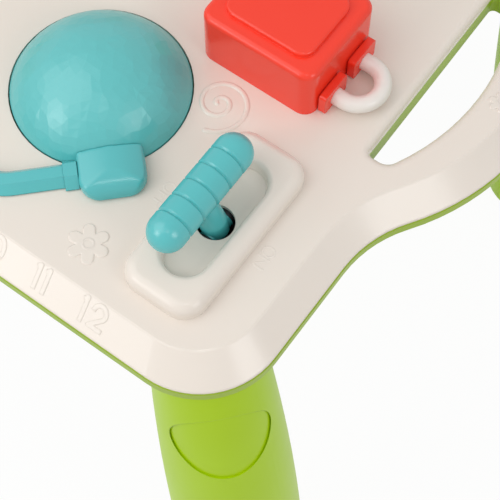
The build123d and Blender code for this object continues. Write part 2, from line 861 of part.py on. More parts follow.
def pipe_section(grow):
    """Flat-topped section of the pipe over a seam at the deck, drawn out by grow."""
    half = pipe_width / 2 + grow
    foot = half - foot_seam_depth
    top = pipe_height + grow / 2
    ridge = pipe_ridge_share * half
    with BuildSketch() as section:
        with BuildLine():
            Polyline(
                (-foot, 0),
                (foot, 0),
                (foot, foot_seam_height),
                (half, foot_seam_height),
                (ridge, top),
                (-ridge, top),
                (-half, foot_seam_height),
                (-foot, foot_seam_height),
                close=True,
            )
        make_face()
    return section.sketch


# Collars where the pipe enters the pod and the keyboard
pod_face = dome_middle + outward * pipe_offset - along * (pod_width / 2)
housing_front_y = keyboard_y - housing_inner_length / 2 - housing_rim
pipe_entry_x = keyboard_x + pipe_entry_offset
pipe_entry = (pipe_entry_x, housing_front_y, deck_height)
with BuildPart() as pipe_collars:
    with BuildSketch(Plane(pod_face, x_dir=outward, z_dir=-along)):
        add(pipe_section(collar_margin))
    with BuildSketch(Plane(pipe_entry, x_dir=(1, 0, 0), z_dir=(0, -1, 0))):
        add(pipe_section(collar_margin))
    extrude(amount=collar_length)
    add(dome_room.part, mode=Mode.SUBTRACT)
pipe_collars.part.label = "pipe_collars"
export_step(pipe_collars.part, "parts/pipe_collars.step")

# Pipe lying on the deck from the pod to the keyboard
pipe_start = pod_face - along * collar_length
with BuildPart() as bent_pipe:
    with BuildLine() as pipe_path:
        run = Line(pipe_start, pipe_start - along * pipe_straight)
        bend = JernArc(run @ 1, run % 1, pipe_bend_radius, -quarter_turn / 2)
        front = Line(bend @ 1, (pipe_entry_x + pipe_bend_radius, (bend @ 1).Y, deck_height))
        turn = JernArc(front @ 1, front % 1, pipe_bend_radius, -quarter_turn)
        Line(turn @ 1, (pipe_entry_x, housing_front_y - collar_length, deck_height))
    with BuildSketch(Plane(pipe_start, x_dir=outward, z_dir=-along)):
        add(pipe_section(0))
    sweep(path=pipe_path.line)
bent_pipe.part.label = "bent_pipe"
export_step(bent_pipe.part, "parts/bent_pipe.step")

# Red pump box: a shell with a stepped top, open where it sits on the deck
pump_right = pump_x + pump_width / 2
pump_body = pump_height - pump_step_height
with BuildPart() as pump_box:
    with BuildSketch(at(deck_height)):
        add(rounded(pump_x, pump_y, pump_width, pump_depth, pump_corner_radius))
    extrude(amount=pump_body)
    fillet(pump_box.edges().group_by(Axis.Z)[-1], radius=pump_edge_radius)
    with BuildSketch(at(deck_height + pump_body)):
        step = 2 * (pump_edge_radius + pump_step)
        add(rounded(pump_x, pump_y, pump_width - step, pump_depth - step, pump_corner_radius))
    extrude(amount=pump_step_height)
    fillet(pump_box.edges().group_by(Axis.Z)[-1], radius=pump_step_height / 2)
    with BuildSketch(at(deck_height)):
        core = 2 * wall
        add(rounded(pump_x, pump_y, pump_width - core, pump_depth - core, pump_corner_radius - wall))
    extrude(amount=pump_body - pump_edge_radius, mode=Mode.SUBTRACT)
pump_box.part.label = "pump_box"
export_step(pump_box.part, "parts/pump_box.step")

# Necked flanges on the pump's end face
with BuildPart() as pump_flanges:
    for side in (-1, 1):
        flange_y = pump_y + side * loop_radius
        for start, thickness, half, height in (
            (pump_right, flange_neck, flange_half - flange_neck_step, flange_height - flange_neck_step),
            (pump_right + flange_neck, flange_thickness, flange_half, flange_height),
        ):
            flange_plane = Plane((start, flange_y, deck_height), x_dir=(0, 1, 0), z_dir=(1, 0, 0))
            with BuildSketch(flange_plane) as block:
                with Locations((0, height / 2)):
                    Rectangle(2 * half, height)
                fillet(block.vertices().group_by(Axis.Z)[-1], radius=flange_round)
            extrude(amount=thickness)
pump_flanges.part.label = "pump_flanges"
export_step(pump_flanges.part, "parts/pump_flanges.step")

# White loop pipe between the flanges
loop_start = pump_right + flange_neck + flange_thickness
loop_turn = pump_right + loop_reach - loop_pipe_radius - loop_radius
with BuildPart() as loop_pipe:
    with BuildLine() as loop_path:
        out = Line(
            (loop_start, pump_y - loop_radius, deck_height + loop_height),
            (loop_turn, pump_y - loop_radius, deck_height + loop_height),
        )
        loop = JernArc(out @ 1, out % 1, loop_radius, 2 * quarter_turn)
        Line(loop @ 1, (loop_start, pump_y + loop_radius, deck_height + loop_height))
    with BuildSketch(Plane(loop_path.line @ 0, x_dir=(0, 1, 0), z_dir=(1, 0, 0))):
        Circle(loop_pipe_radius)
    sweep(path=loop_path.line)
loop_pipe.part.label = "loop_pipe"
export_step(loop_pipe.part, "parts/loop_pipe.step")

# Keyboard housing: a rim on the deck and a closed well below it
key_axle_y = keyboard_y + key_length / 2 - key_hinge_inset
key_axle_z = deck_height + key_hinge_height
well_z = deck_height - housing_depth
with BuildPart() as keyboard_housing:
    with BuildSketch(at(deck_height)):
        add(keyboard_plan(2 * housing_rim, housing_corner_radius))
    extrude(amount=housing_height)
    fillet(keyboard_housing.edges().group_by(Axis.Z)[-1], radius=housing_edge_radius)
    with BuildSketch(at(well_z)):
        add(keyboard_plan(2 * wall, housing_corner_radius))
    extrude(amount=housing_depth)
    with BuildSketch(at(well_z + wall)):
        add(keyboard_plan(0, housing_corner_radius - wall))
    extrude(amount=housing_depth + housing_height, mode=Mode.SUBTRACT)
    with Locations((keyboard_x, key_axle_y, key_axle_z)):
        Cylinder(
            key_axle_radius + running_clearance,
            housing_inner_width + 2 * wall,
            rotation=(0, quarter_turn, 0),
            mode=Mode.SUBTRACT,
        )
keyboard_housing.part.label = "keyboard_housing"
export_step(keyboard_housing.part, "parts/keyboard_housing.step")

with BuildPart() as key_axle:
    with Locations((keyboard_x, key_axle_y, key_axle_z)):
        Cylinder(
            key_axle_radius,
            housing_inner_width + 2 * (wall - fit_gap),
            rotation=(0, quarter_turn, 0),
        )
key_axle.part.label = "key_axle"
export_step(key_axle.part, "parts/key_axle.step")

# Keys: hollow bars on the common axle, each with a rib over its contact
key_under_z = deck_height + key_top - key_depth
key_pitch = key_width + key_space
key_places = [keyboard_x + (number - (key_count - 1) / 2) * key_pitch for number in range(key_count)]
contact_y = keyboard_y - key_length / 2 + key_width / 2
for number, key_x in enumerate(key_places, start=1):
    with BuildPart() as key:
        with BuildSketch(at(key_under_z)):
            add(rounded(key_x, keyboard_y, key_width, key_length, key_corner_radius))
        extrude(amount=key_depth)
        fillet(key.edges().group_by(Axis.Z)[-1], radius=key_edge_radius)
        with BuildSketch(at(key_under_z)):
            hollow = key_length - 2 * key_wall - key_block
            with Locations((key_x, keyboard_y - key_block / 2)):
                Rectangle(key_width - 2 * key_wall, hollow)
            with Locations((key_x, contact_y)):
                Rectangle(key_width, 2 * key_wall, mode=Mode.SUBTRACT)
        extrude(amount=key_depth - key_wall, mode=Mode.SUBTRACT)
        with Locations((key_x, key_axle_y, key_axle_z)):
            Cylinder(
                key_axle_radius + running_clearance,
                2 * key_width,
                rotation=(0, quarter_turn, 0),
                mode=Mode.SUBTRACT,
            )
    key.part.label = f"key_{number}"
    export_step(key.part, f"parts/key_{number}.step")

# Contact buttons that the keys reach at the end of their travel
key_drop = (key_axle_y - contact_y + key_wall) * math.sin(math.radians(key_travel_angle))
with BuildPart() as key_contacts:
    with BuildSketch(at(well_z + wall)):
        with Locations(*[(key_x, contact_y) for key_x in key_places]):
            Circle(contact_radius)
    extrude(amount=key_under_z - key_drop - fit_gap - well_z - wall)
    fillet(key_contacts.edges().group_by(Axis.Z)[-1], radius=contact_radius / 4)
key_contacts.part.label = "key_contacts"
export_step(key_contacts.part, "parts/key_contacts.step")


def gear_plan(teeth, turn):
    """Plan of a spur gear with a tooth at the given turn and arcs through involute points as flanks."""
    pitch = gear_module * teeth / 2
    base = pitch * math.cos(math.radians(pressure_angle))
    root = pitch - dedendum_share * gear_module
    tip = pitch + addendum_share * gear_module

    def half_angle(radius):
        lean = math.acos(min(1, base / radius))
        pitch_lean = math.radians(pressure_angle)
        rise = math.tan(pitch_lean) - pitch_lean - math.tan(lean) + lean
        return math.pi / (2 * teeth) - gear_backlash / (4 * pitch) + rise

    def point(radius, angle):
        return (radius * math.cos(angle), radius * math.sin(angle))

    with BuildSketch() as plan:
        with BuildLine():
            for number in range(teeth):
                middle = math.radians(turn) + 2 * math.pi * number / teeth
                following = middle + 2 * math.pi / teeth
                rising = [point(radius, middle - half_angle(radius)) for radius in (root, pitch, tip)]
                falling = [point(radius, middle + half_angle(radius)) for radius in (tip, pitch, root)]
                ThreePointArc(*rising)
                Line(rising[-1], falling[0])
                ThreePointArc(*falling)
                Line(falling[-1], point(root, following - half_angle(root)))
        make_face()
    return plan.sketch


# Gears in mesh: the medium gear shows a gap to the large one, the small gear a gap to the medium one
medium_turn = medium_bearing + 2 * quarter_turn * (1 + 1 / medium_teeth)
small_offset = (small_bearing - medium_turn) * medium_teeth / small_teeth
small_turn = small_bearing + small_offset + 2 * quarter_turn * (1 + 1 / small_teeth)
gear_z = deck_height + gear_lift
gear_top_z = gear_z + gear_thickness
gear_rows = (
    ("gear_large", large_teeth, large_x, large_y, medium_bearing, large_windows),
    ("gear_medium", medium_teeth, medium_x, medium_y, medium_turn, medium_windows),
    ("gear_small", small_teeth, small_x, small_y, small_turn, small_windows),
)
for gear_name, teeth, gear_x, gear_y, turn, windows in gear_rows:
    rim_inner = gear_module * teeth / 2 - dedendum_share * gear_module - gear_rim
    with BuildPart() as gear:
        with BuildSketch(Plane((gear_x, gear_y, gear_z))):
            add(gear_plan(teeth, turn))
            Circle(gear_post_radius + running_clearance, mode=Mode.SUBTRACT)
        extrude(amount=gear_thickness)
        for height, side in ((gear_z, 1), (gear_top_z, -1)):
            with BuildSketch(Plane((gear_x, gear_y, height))):
                Circle(rim_inner)
                Circle(gear_hub_radius, mode=Mode.SUBTRACT)
            extrude(amount=side * (gear_thickness - gear_web) / 2, mode=Mode.SUBTRACT)
        with BuildSketch(Plane((gear_x, gear_y, gear_z))):
            with PolarLocations((rim_inner + gear_hub_radius) / 2, windows):
                Circle(gear_window_share * (rim_inner - gear_hub_radius))
        extrude(amount=gear_thickness, mode=Mode.SUBTRACT)
    gear.part.label = gear_name
    export_step(gear.part, f"parts/{gear_name}.step")

# Posts that carry the gears, and the caps that keep them on
with BuildPart() as gear_posts:
    for height, radius, rise in (
        (deck_under_z - post_tail, gear_post_radius, gear_top_z + fit_gap - deck_under_z + post_tail),
        (deck_height, gear_seat_radius, gear_lift - fit_gap),
    ):
        with BuildSketch(at(height)):
            with Locations(*gear_places):
                Circle(radius)
        extrude(amount=rise)
gear_posts.part.label = "gear_posts"
export_step(gear_posts.part, "parts/gear_posts.step")

with BuildPart() as gear_caps:
    with BuildSketch(at(gear_top_z + fit_gap)):
        with Locations(*gear_places):
            Circle(gear_cap_radius)
    extrude(amount=gear_cap_height)
    fillet(gear_caps.edges().group_by(Axis.Z)[-1], radius=gear_cap_edge)
gear_caps.part.label = "gear_caps"
export_step(gear_caps.part, "parts/gear_caps.step")

# Roller frame: a rim on the deck, a well for the roller and a cheek at each end
roller_axis_z = deck_height + roller_axis_height
roller_well_z = roller_axis_z - roller_radius - roller_gap - wall
roller_outer_half = roller_inner_length / 2 + roller_rim
roller_plane = Plane((roller_x, roller_y, roller_axis_z), x_dir=(0, 1, 0), z_dir=(1, 0, 0))
with BuildPart() as roller_frame:
    with BuildSketch(at(deck_height)):
        add(roller_plan(2 * roller_rim, roller_corner_radius))
    extrude(amount=roller_rim_height)
    fillet(roller_frame.edges().group_by(Axis.Z)[-1], radius=housing_edge_radius)
    with BuildSketch(roller_plane):
        Circle(roller_cheek_radius)
        with Locations((0, -roller_axis_height - roller_cheek_radius)):
            Rectangle(2 * roller_cheek_radius, 2 * roller_cheek_radius, mode=Mode.SUBTRACT)
        with Locations((0, -roller_axis_height / 2)):
            Trapezoid(roller_inner_width, roller_axis_height, roller_cheek_angle)
    extrude(amount=roller_outer_half, both=True)
    with BuildSketch(at(roller_well_z)):
        add(roller_plan(2 * wall, roller_corner_radius))
    extrude(amount=deck_height - roller_well_z)
    with BuildSketch(at(roller_well_z + wall)):
        add(roller_plan(0, roller_corner_radius - wall))
    extrude(amount=2 * roller_radius + roller_cheek_radius, mode=Mode.SUBTRACT)
    with BuildSketch(roller_plane):
        Circle(roller_axle_radius + running_clearance)
    extrude(amount=roller_inner_length / 2 + wall, both=True, mode=Mode.SUBTRACT)
roller_frame.part.label = "roller_frame"
export_step(roller_frame.part, "parts/roller_frame.step")

with BuildPart() as roller_axle:
    with BuildSketch(roller_plane):
        Circle(roller_axle_radius)
    extrude(amount=roller_inner_length / 2 + wall - fit_gap, both=True)
roller_axle.part.label = "roller_axle"
export_step(roller_axle.part, "parts/roller_axle.step")

# Fluted roller, narrowed at its ends
with BuildPart() as roller_drum:
    with BuildSketch(Plane((roller_x, roller_y, roller_axis_z))):
        with BuildLine():
            half = roller_length / 2
            crown = ThreePointArc((-half, roller_end_radius), (0, roller_radius), (half, roller_end_radius))
            Polyline(crown @ 1, (half, 0), (-half, 0), crown @ 0)
        make_face()
    revolve(axis=Axis((roller_x, roller_y, roller_axis_z), (1, 0, 0)))
    with BuildSketch(roller_plane):
        with PolarLocations(roller_radius, roller_flute_count):
            Circle(roller_flute_radius)
        Circle(roller_axle_radius + running_clearance)
    extrude(amount=roller_length, both=True, mode=Mode.SUBTRACT)
roller_drum.part.label = "roller_drum"
export_step(roller_drum.part, "parts/roller_drum.step")

# Speaker on the pan floor over its grille
with BuildPart() as speaker:
    with BuildSketch(Plane((speaker_x, speaker_y, pan_floor_z), x_dir=(1, 0, 0), z_dir=(0, -1, 0))):
        with BuildLine():
            Polyline(
                (0, speaker_height / 3),
                (speaker_cone_radius, 0),
                (speaker_radius, 0),
                (speaker_radius, board_thickness),
                (speaker_cone_radius, board_thickness),
                (speaker_radius / 2, speaker_height / 2),
                (speaker_radius / 2, speaker_height),
                (0, speaker_height),
                close=True,
            )
        make_face()
    revolve(axis=Axis((speaker_x, speaker_y, 0), (0, 0, 1)))
speaker.part.label = "speaker"
export_step(speaker.part, "parts/speaker.step")

# Circuit board on its posts
board_z = pan_floor_z + board_post_height
with BuildPart() as circuit_board:
    with BuildSketch(at(board_z)):
        with Locations((board_x, board_y)):
            Rectangle(board_length, board_width)
    extrude(amount=board_thickness)
    with BuildSketch(at(board_z + board_thickness)):
        with Locations((board_x, board_y)):
            Rectangle(chip_size, chip_size)
    extrude(amount=board_thickness)
circuit_board.part.label = "circuit_board"
export_step(circuit_board.part, "parts/circuit_board.step")

# Battery box over the opening, with its cells, contacts, door and door screw
cells_z = pan_floor_z + cell_radius + fit_gap
first_row = battery_y - (cell_count - 1) * cell_radius
cell_rows = [first_row + 2 * cell_radius * number for number in range(cell_count)]
cell_start = battery_x - battery_inner_length / 2 + battery_spring
tab_x = battery_x + battery_inner_length / 2 + door_screw_tab / 2
with BuildPart() as battery_box:
    with BuildSketch(at(pan_floor_z)):
        with Locations((battery_mouth_x, battery_y)):
            Rectangle(battery_mouth_length + 2 * wall, battery_inner_width + 2 * wall)
    extrude(amount=battery_inner_height + wall)
    with BuildSketch(at(pan_floor_z)):
        with Locations((battery_x, battery_y)):
            Rectangle(battery_inner_length, battery_inner_width)
    extrude(amount=battery_inner_height, mode=Mode.SUBTRACT)
    with BuildSketch(at(pan_floor_z)):
        with Locations((tab_x, battery_y)):
            Circle(screw_radius + running_clearance)
    extrude(amount=screw_grip, mode=Mode.SUBTRACT)
battery_box.part.label = "battery_box"
export_step(battery_box.part, "parts/battery_box.step")

with BuildPart() as battery_cells:
    for radius, reach in ((cell_radius, cell_length), (cell_nub_radius, cell_length + cell_nub)):
        with BuildSketch(Plane((cell_start, 0, cells_z), x_dir=(0, 1, 0), z_dir=(1, 0, 0))):
            with Locations(*[(row, 0) for row in cell_rows]):
                Circle(radius - running_clearance)
        extrude(amount=reach)
battery_cells.part.label = "battery_cells"
export_step(battery_cells.part, "parts/battery_cells.step")

with BuildPart() as battery_contacts:
    with BuildSketch(Plane((cell_start, 0, cells_z), x_dir=(0, 1, 0), z_dir=(-1, 0, 0))):
        with Locations(*[(row, 0) for row in cell_rows]):
            Circle(cell_nub_radius)
    extrude(amount=battery_spring - running_clearance)
    for end_x, inward in ((cell_start - battery_spring, 1), (battery_x + battery_inner_length / 2, -1)):
        with BuildSketch(Plane((end_x, battery_y, cells_z), x_dir=(0, 1, 0), z_dir=(inward, 0, 0))):
            Rectangle(battery_inner_width - battery_margin, cell_radius)
        extrude(amount=contact_thickness)
battery_contacts.part.label = "battery_contacts"
export_step(battery_contacts.part, "parts/battery_contacts.step")

with BuildPart() as battery_door:
    with BuildSketch(at(pan_z)):
        with Locations((battery_mouth_x, battery_y)):
            Rectangle(battery_mouth_length - 2 * fit_gap, battery_inner_width - 2 * fit_gap)
        with Locations((tab_x, battery_y)):
            Circle(screw_radius + screw_clearance, mode=Mode.SUBTRACT)
    extrude(amount=wall)
    with BuildSketch(at(pan_z)):
        with Locations((tab_x, battery_y)):
            Circle(screw_head_radius + screw_clearance)
    extrude(amount=wall / 2, mode=Mode.SUBTRACT)
battery_door.part.label = "battery_door"
export_step(battery_door.part, "parts/battery_door.step")

with BuildPart() as door_screw:
    for radius, rise in ((screw_head_radius, wall / 2), (screw_radius, wall + screw_grip - fit_gap)):
        with BuildSketch(at(pan_z)):
            with Locations((tab_x, battery_y)):
                Circle(radius)
        extrude(amount=rise)
door_screw.part.label = "door_screw"
export_step(door_screw.part, "parts/door_screw.step")
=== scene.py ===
"""Looks of the activity table: moulded finishes, raised marks, faceted dome, studio and camera.

All lengths are metres in the table's own frame: origin on the floor under the middle of the table,
+X along the numbered front edge, +Y to the back, +Z up.
"""

import logging
import math
from dataclasses import dataclass, field
from enum import Enum
from typing import Iterable, Sequence

import bmesh
import bpy
import numpy as np
from mathutils import Matrix, Vector


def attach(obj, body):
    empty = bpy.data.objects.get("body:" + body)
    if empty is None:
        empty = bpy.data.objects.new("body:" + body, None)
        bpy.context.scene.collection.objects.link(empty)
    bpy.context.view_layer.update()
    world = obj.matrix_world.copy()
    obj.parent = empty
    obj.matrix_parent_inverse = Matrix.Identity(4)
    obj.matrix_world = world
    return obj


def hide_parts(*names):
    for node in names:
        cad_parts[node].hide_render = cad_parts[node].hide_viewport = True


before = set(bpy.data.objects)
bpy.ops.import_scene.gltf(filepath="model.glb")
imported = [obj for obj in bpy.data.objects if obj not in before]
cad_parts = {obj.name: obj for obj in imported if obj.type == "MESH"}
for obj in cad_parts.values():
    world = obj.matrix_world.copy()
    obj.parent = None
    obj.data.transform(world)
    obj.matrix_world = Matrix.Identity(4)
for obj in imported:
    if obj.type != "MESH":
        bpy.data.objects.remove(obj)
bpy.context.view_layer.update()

LOG = logging.getLogger("activity_table")
MM = 0.001
# Degrees between the points of an arc, and how many steps even a short arc has
ARC_STEP = 8.0
FEWEST_ARC_STEPS = 8

Point = tuple[float, float]
Place = tuple[float, float, float]
Colour = tuple[float, float, float, float]


def linear(code: str) -> Colour:
    """Turns an sRGB hex colour into the linear colour that shaders use.

    Args:
        code: Colour as "#RRGGBB".

    Returns:
        Linear red, green and blue, with full alpha.
    """
    channels = [int(code[i : i + 2], 16) / 255 for i in (1, 3, 5)]
    red, green, blue = (c / 12.92 if c <= 0.04045 else ((c + 0.055) / 1.055) ** 2.4 for c in channels)
    return (red, green, blue, 1.0)


def add_node(
    tree: bpy.types.NodeTree,
    kind: str,
    settings: dict[str, object] | None = None,
    links: dict[str | int, bpy.types.NodeSocket] | None = None,
) -> bpy.types.Node:
    """Adds one shader node with its settings and links.

    Args:
        tree: Node tree that takes the node.
        kind: Blender's name of the node type.
        settings: Values by socket name, or by property name where there is no such socket.
        links: Sockets that feed the inputs of that name or number.

    Returns:
        The new node.
    """
    node = tree.nodes.new(kind)
    for name, value in (settings or {}).items():
        if name in node.inputs:
            node.inputs[name].default_value = value
        else:
            setattr(node, name, value)
    for name, socket in (links or {}).items():
        tree.links.new(socket, node.inputs[name])
    return node


class Body(Enum):
    """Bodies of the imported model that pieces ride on."""

    TABLE = "table"


@dataclass(frozen=True)
class MouldedPlastic:
    """Injection-moulded plastic: an even colour that clouds a little, a soft gloss and a fine mould grain.

    Attributes:
        name: Name of the material, after the plastic and how it was made.
        colour: Main colour in sRGB hex.
        shade: Colour of the clouded parts in sRGB hex.
        roughness: Roughness of the polished skin.
        ior: Index of refraction.
        sheen: Level of the mirror reflection: 0.5 for a plain skin, more for a polished one, less for a
            waxy one.
        gloss_spread: Share by which the roughness goes up and down with the clouds.
        cloud_mm: Width of a cloud of the colour.
        grain_mm: Spacing of the mould grain, drawn coarser than the real one so that it shows.
        grain_height_mm: Height of that grain.
        edge_mm: Radius that moulding leaves on an edge.
        subsurface: Share of the light that goes into the wall and comes out beside it.
        glow_depth_mm: Depth that such light reaches.
        glow_tint: How far red, green and blue reach, as shares of that depth.
    """

    name: str
    colour: str
    shade: str
    roughness: float = 0.32
    ior: float = 1.53
    sheen: float = 0.5
    gloss_spread: float = 0.15
    cloud_mm: float = 60.0
    grain_mm: float = 1.6
    grain_height_mm: float = 0.006
    edge_mm: float = 0.5
    subsurface: float = 0.0
    glow_depth_mm: float = 2.0
    glow_tint: Place = (1.0, 0.9, 0.8)

    def material(self) -> bpy.types.Material:
        """Builds the material.

        Returns:
            The finished material.
        """
        material = bpy.data.materials.new(self.name)
        material.use_nodes = True
        tree = material.node_tree
        shader = tree.nodes["Principled BSDF"]
        place = add_node(tree, "ShaderNodeTexCoord").outputs["Object"]
        clouds = {"Scale": 1 / (self.cloud_mm * MM), "Detail": 2.0}
        cloud = add_node(tree, "ShaderNodeTexNoise", clouds, {"Vector": place}).outputs["Fac"]
        grains = {"Scale": 1 / (self.grain_mm * MM), "Detail": 1.0}
        grain = add_node(tree, "ShaderNodeTexNoise", grains, {"Vector": place}).outputs["Fac"]
        colours = {"Color1": linear(self.colour), "Color2": linear(self.shade)}
        mix = add_node(tree, "ShaderNodeMixRGB", colours, {"Fac": cloud})
        smoothest = (1 - self.gloss_spread) * self.roughness
        roughest = (1 + self.gloss_spread) * self.roughness
        gloss = add_node(
            tree, "ShaderNodeMapRange", {"To Min": smoothest, "To Max": roughest}, {"Value": cloud}
        )
        edge = add_node(tree, "ShaderNodeBevel", {"Radius": self.edge_mm * MM, "samples": 4})
        bump = add_node(
            tree,
            "ShaderNodeBump",
            {"Strength": 1.0, "Distance": self.grain_height_mm * MM},
            {"Height": grain, "Normal": edge.outputs["Normal"]},
        )
        tree.links.new(mix.outputs["Color"], shader.inputs["Base Color"])
        tree.links.new(gloss.outputs["Result"], shader.inputs["Roughness"])
        tree.links.new(bump.outputs["Normal"], shader.inputs["Normal"])
        shader.inputs["IOR"].default_value = self.ior
        shader.inputs["Specular IOR Level"].default_value = self.sheen
        if self.subsurface:
            shader.inputs["Subsurface Weight"].default_value = self.subsurface
            shader.inputs["Subsurface Radius"].default_value = self.glow_tint
            shader.inputs["Subsurface Scale"].default_value = self.glow_depth_mm * MM
        return material


@dataclass(frozen=True)
class PlatedSteel:
    """Zinc-plated drawn steel: a grey metal with faint streaks of brighter and duller plating.

    Attributes:
        name: Name of the material.
        colour: Colour of the plating in sRGB hex.
        roughness: Roughness of the plating.
        gloss_spread: Share by which the roughness goes up and down with the streaks.
        streak_mm: Spacing of the drawing streaks, drawn coarser than the real ones so that they show.
    """

    name: str
    colour: str
    roughness: float = 0.34
    gloss_spread: float = 0.3
    streak_mm: float = 0.8

    def material(self) -> bpy.types.Material:
        """Builds the material.

        Returns:
            The finished material.
        """
        material = bpy.data.materials.new(self.name)
        material.use_nodes = True
        tree = material.node_tree
        shader = tree.nodes["Principled BSDF"]
        place = add_node(tree, "ShaderNodeTexCoord").outputs["Object"]
        streaks = {"Scale": 1 / (self.streak_mm * MM), "Detail": 3.0}
        streak = add_node(tree, "ShaderNodeTexNoise", streaks, {"Vector": place}).outputs["Fac"]
        smoothest = (1 - self.gloss_spread) * self.roughness
        roughest = (1 + self.gloss_spread) * self.roughness
        gloss = add_node(
            tree, "ShaderNodeMapRange", {"To Min": smoothest, "To Max": roughest}, {"Value": streak}
        )
        tree.links.new(gloss.outputs["Result"], shader.inputs["Roughness"])
        shader.inputs["Base Color"].default_value = linear(self.colour)
        shader.inputs["Metallic"].default_value = 1.0
        return material


class Finish(Enum):
    """Finishes of the table, each named for the plastic, rubber or metal and how it was made."""

    # Cream ABS from a polished mould: warm off-white, soft broad reflections, slightly milky in thin walls
    CREAM = MouldedPlastic(
        "cream_abs_moulded", "#EBE2D8", "#E8DED3", roughness=0.2, sheen=0.4, subsurface=0.06
    )
    # Sage green polypropylene of the tray: duller and a little darker than the legs, with a waxy sheen
    SAGE = MouldedPlastic(
        "sage_polypropylene_moulded", "#9EBA34", "#98B330", roughness=0.36, ior=1.49, sheen=0.15
    )
    # Lime green polypropylene of the blown legs, also on the deck: strong yellow green, waxy sheen
    LIME = MouldedPlastic(
        "lime_polypropylene_blown", "#AFD300", "#A9CC00", roughness=0.34, ior=1.49, sheen=0.12
    )
    # Turquoise ABS: mid blue green with a clear gloss that lines every rounded edge
    TURQUOISE = MouldedPlastic(
        "turquoise_abs_moulded", "#52BDBF", "#4DB7BA", roughness=0.24, sheen=0.7, edge_mm=0.6
    )
    # Turquoise ABS of the dome: a shade lighter, because its thin wall lets some light through
    DOME = MouldedPlastic(
        "dome_abs_moulded", "#5CC0C0", "#57BABB", roughness=0.3, sheen=0.7, edge_mm=0.2, subsurface=0.05
    )
    # Red ABS: warm orange red with a high gloss
    RED = MouldedPlastic("red_abs_moulded", "#FB3F27", "#F53922", roughness=0.2, sheen=0.4)
    # White ABS of the loop pipe, caps and light keys: brighter than the deck, with a soft gloss
    WHITE = MouldedPlastic("white_abs_moulded", "#EFEAE4", "#EBE5DE", roughness=0.28, subsurface=0.06)
    # Grey thermoplastic rubber of the pads and contacts: matt, with a coarse grain
    RUBBER = MouldedPlastic(
        "grey_rubber_moulded",
        "#5A5C5B",
        "#515352",
        roughness=0.72,
        ior=1.5,
        grain_mm=1.2,
        grain_height_mm=0.05,
    )
    # Black ABS with a spark-eroded mould skin: dull, with a grain that breaks up each reflection
    BLACK = MouldedPlastic("black_abs_textured", "#303234", "#2A2C2E", roughness=0.55, grain_height_mm=0.03)
    # Green solder lacquer over glass-fibre board: dull gloss with the weave just showing
    BOARD = MouldedPlastic(
        "lacquered_fibre_board", "#1E6B3C", "#195F34", roughness=0.42, cloud_mm=6.0, grain_mm=0.9
    )
    # Milky polycarbonate of the lamp: smooth and bright, with soft light inside it
    LENS = MouldedPlastic(
        "milky_polycarbonate_moulded", "#F3EFE2", "#EFEADB", roughness=0.2, ior=1.58, subsurface=0.2
    )
    # Shrunk polymer film round the cells: smooth dark grey with a soft gloss
    JACKET = MouldedPlastic("shrunk_film_jacket", "#4A4D52", "#44474C", roughness=0.3, cloud_mm=20.0)
    # Zinc-plated steel of the axles, screws and contacts: cool grey metal with faint streaks
    STEEL = PlatedSteel("zinc_plated_steel", "#B9BBBE")


class Wardrobe:
    """Keeps one material for each finish and puts them on nodes and pieces."""

    def __init__(self) -> None:
        """Starts with no material made."""
        self.made: dict[Finish, bpy.types.Material] = {}

    def material(self, finish: Finish) -> bpy.types.Material:
        """Gives the material of a finish, made at its first use.

        Args:
            finish: Finish that is wanted.

        Returns:
            Its material.
        """
        if finish not in self.made:
            self.made[finish] = finish.value.material()
        return self.made[finish]

    def dress(self, finish: Finish, names: Iterable[str]) -> None:
        """Gives CAD nodes a finish in place of their plain colour.

        Args:
            finish: Finish that the nodes take.
            names: Names of the nodes.
        """
        for name in names:
            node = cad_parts[name]
            node.data.materials.clear()
            node.data.materials.append(self.material(finish))
            LOG.info("node %s wears %s", name, finish.value.name)

    def piece(self, name: str, mesh: bmesh.types.BMesh, finish: Finish, slot: str) -> bpy.types.Object:
        """Makes a piece that rides on the table.

        Args:
            name: Name of the piece.
            mesh: Its shape, in the table's frame; it is freed here.
            finish: Finish of the piece.
            slot: Material slot of the record that the finish belongs to; not used.

        Returns:
            The new object.
        """
        data = bpy.data.meshes.new(name)
        bmesh.ops.recalc_face_normals(mesh, faces=mesh.faces)
        for face in mesh.faces:
            face.smooth = True
        mesh.to_mesh(data)
        mesh.free()
        data.materials.append(self.material(finish))
        piece = bpy.data.objects.new(name, data)
        bpy.context.scene.collection.objects.link(piece)
        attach(piece, Body.TABLE.value)
        LOG.info("piece %s made with %d faces", name, len(data.polygons))
        return piece


def arc(middle: Point, radii: Point, start: float, end: float) -> list[Point]:
    """Points along an elliptical arc.

    Args:
        middle: Centre of the arc.
        radii: Half width and half height.
        start: First angle in degrees.
        end: Last angle in degrees.

    Returns:
        Points from the first angle to the last.
    """
    steps = max(FEWEST_ARC_STEPS, int(abs(end - start) / ARC_STEP))
    angles = [math.radians(start + (end - start) * i / steps) for i in range(steps + 1)]
    return [(middle[0] + radii[0] * math.cos(a), middle[1] + radii[1] * math.sin(a)) for a in angles]


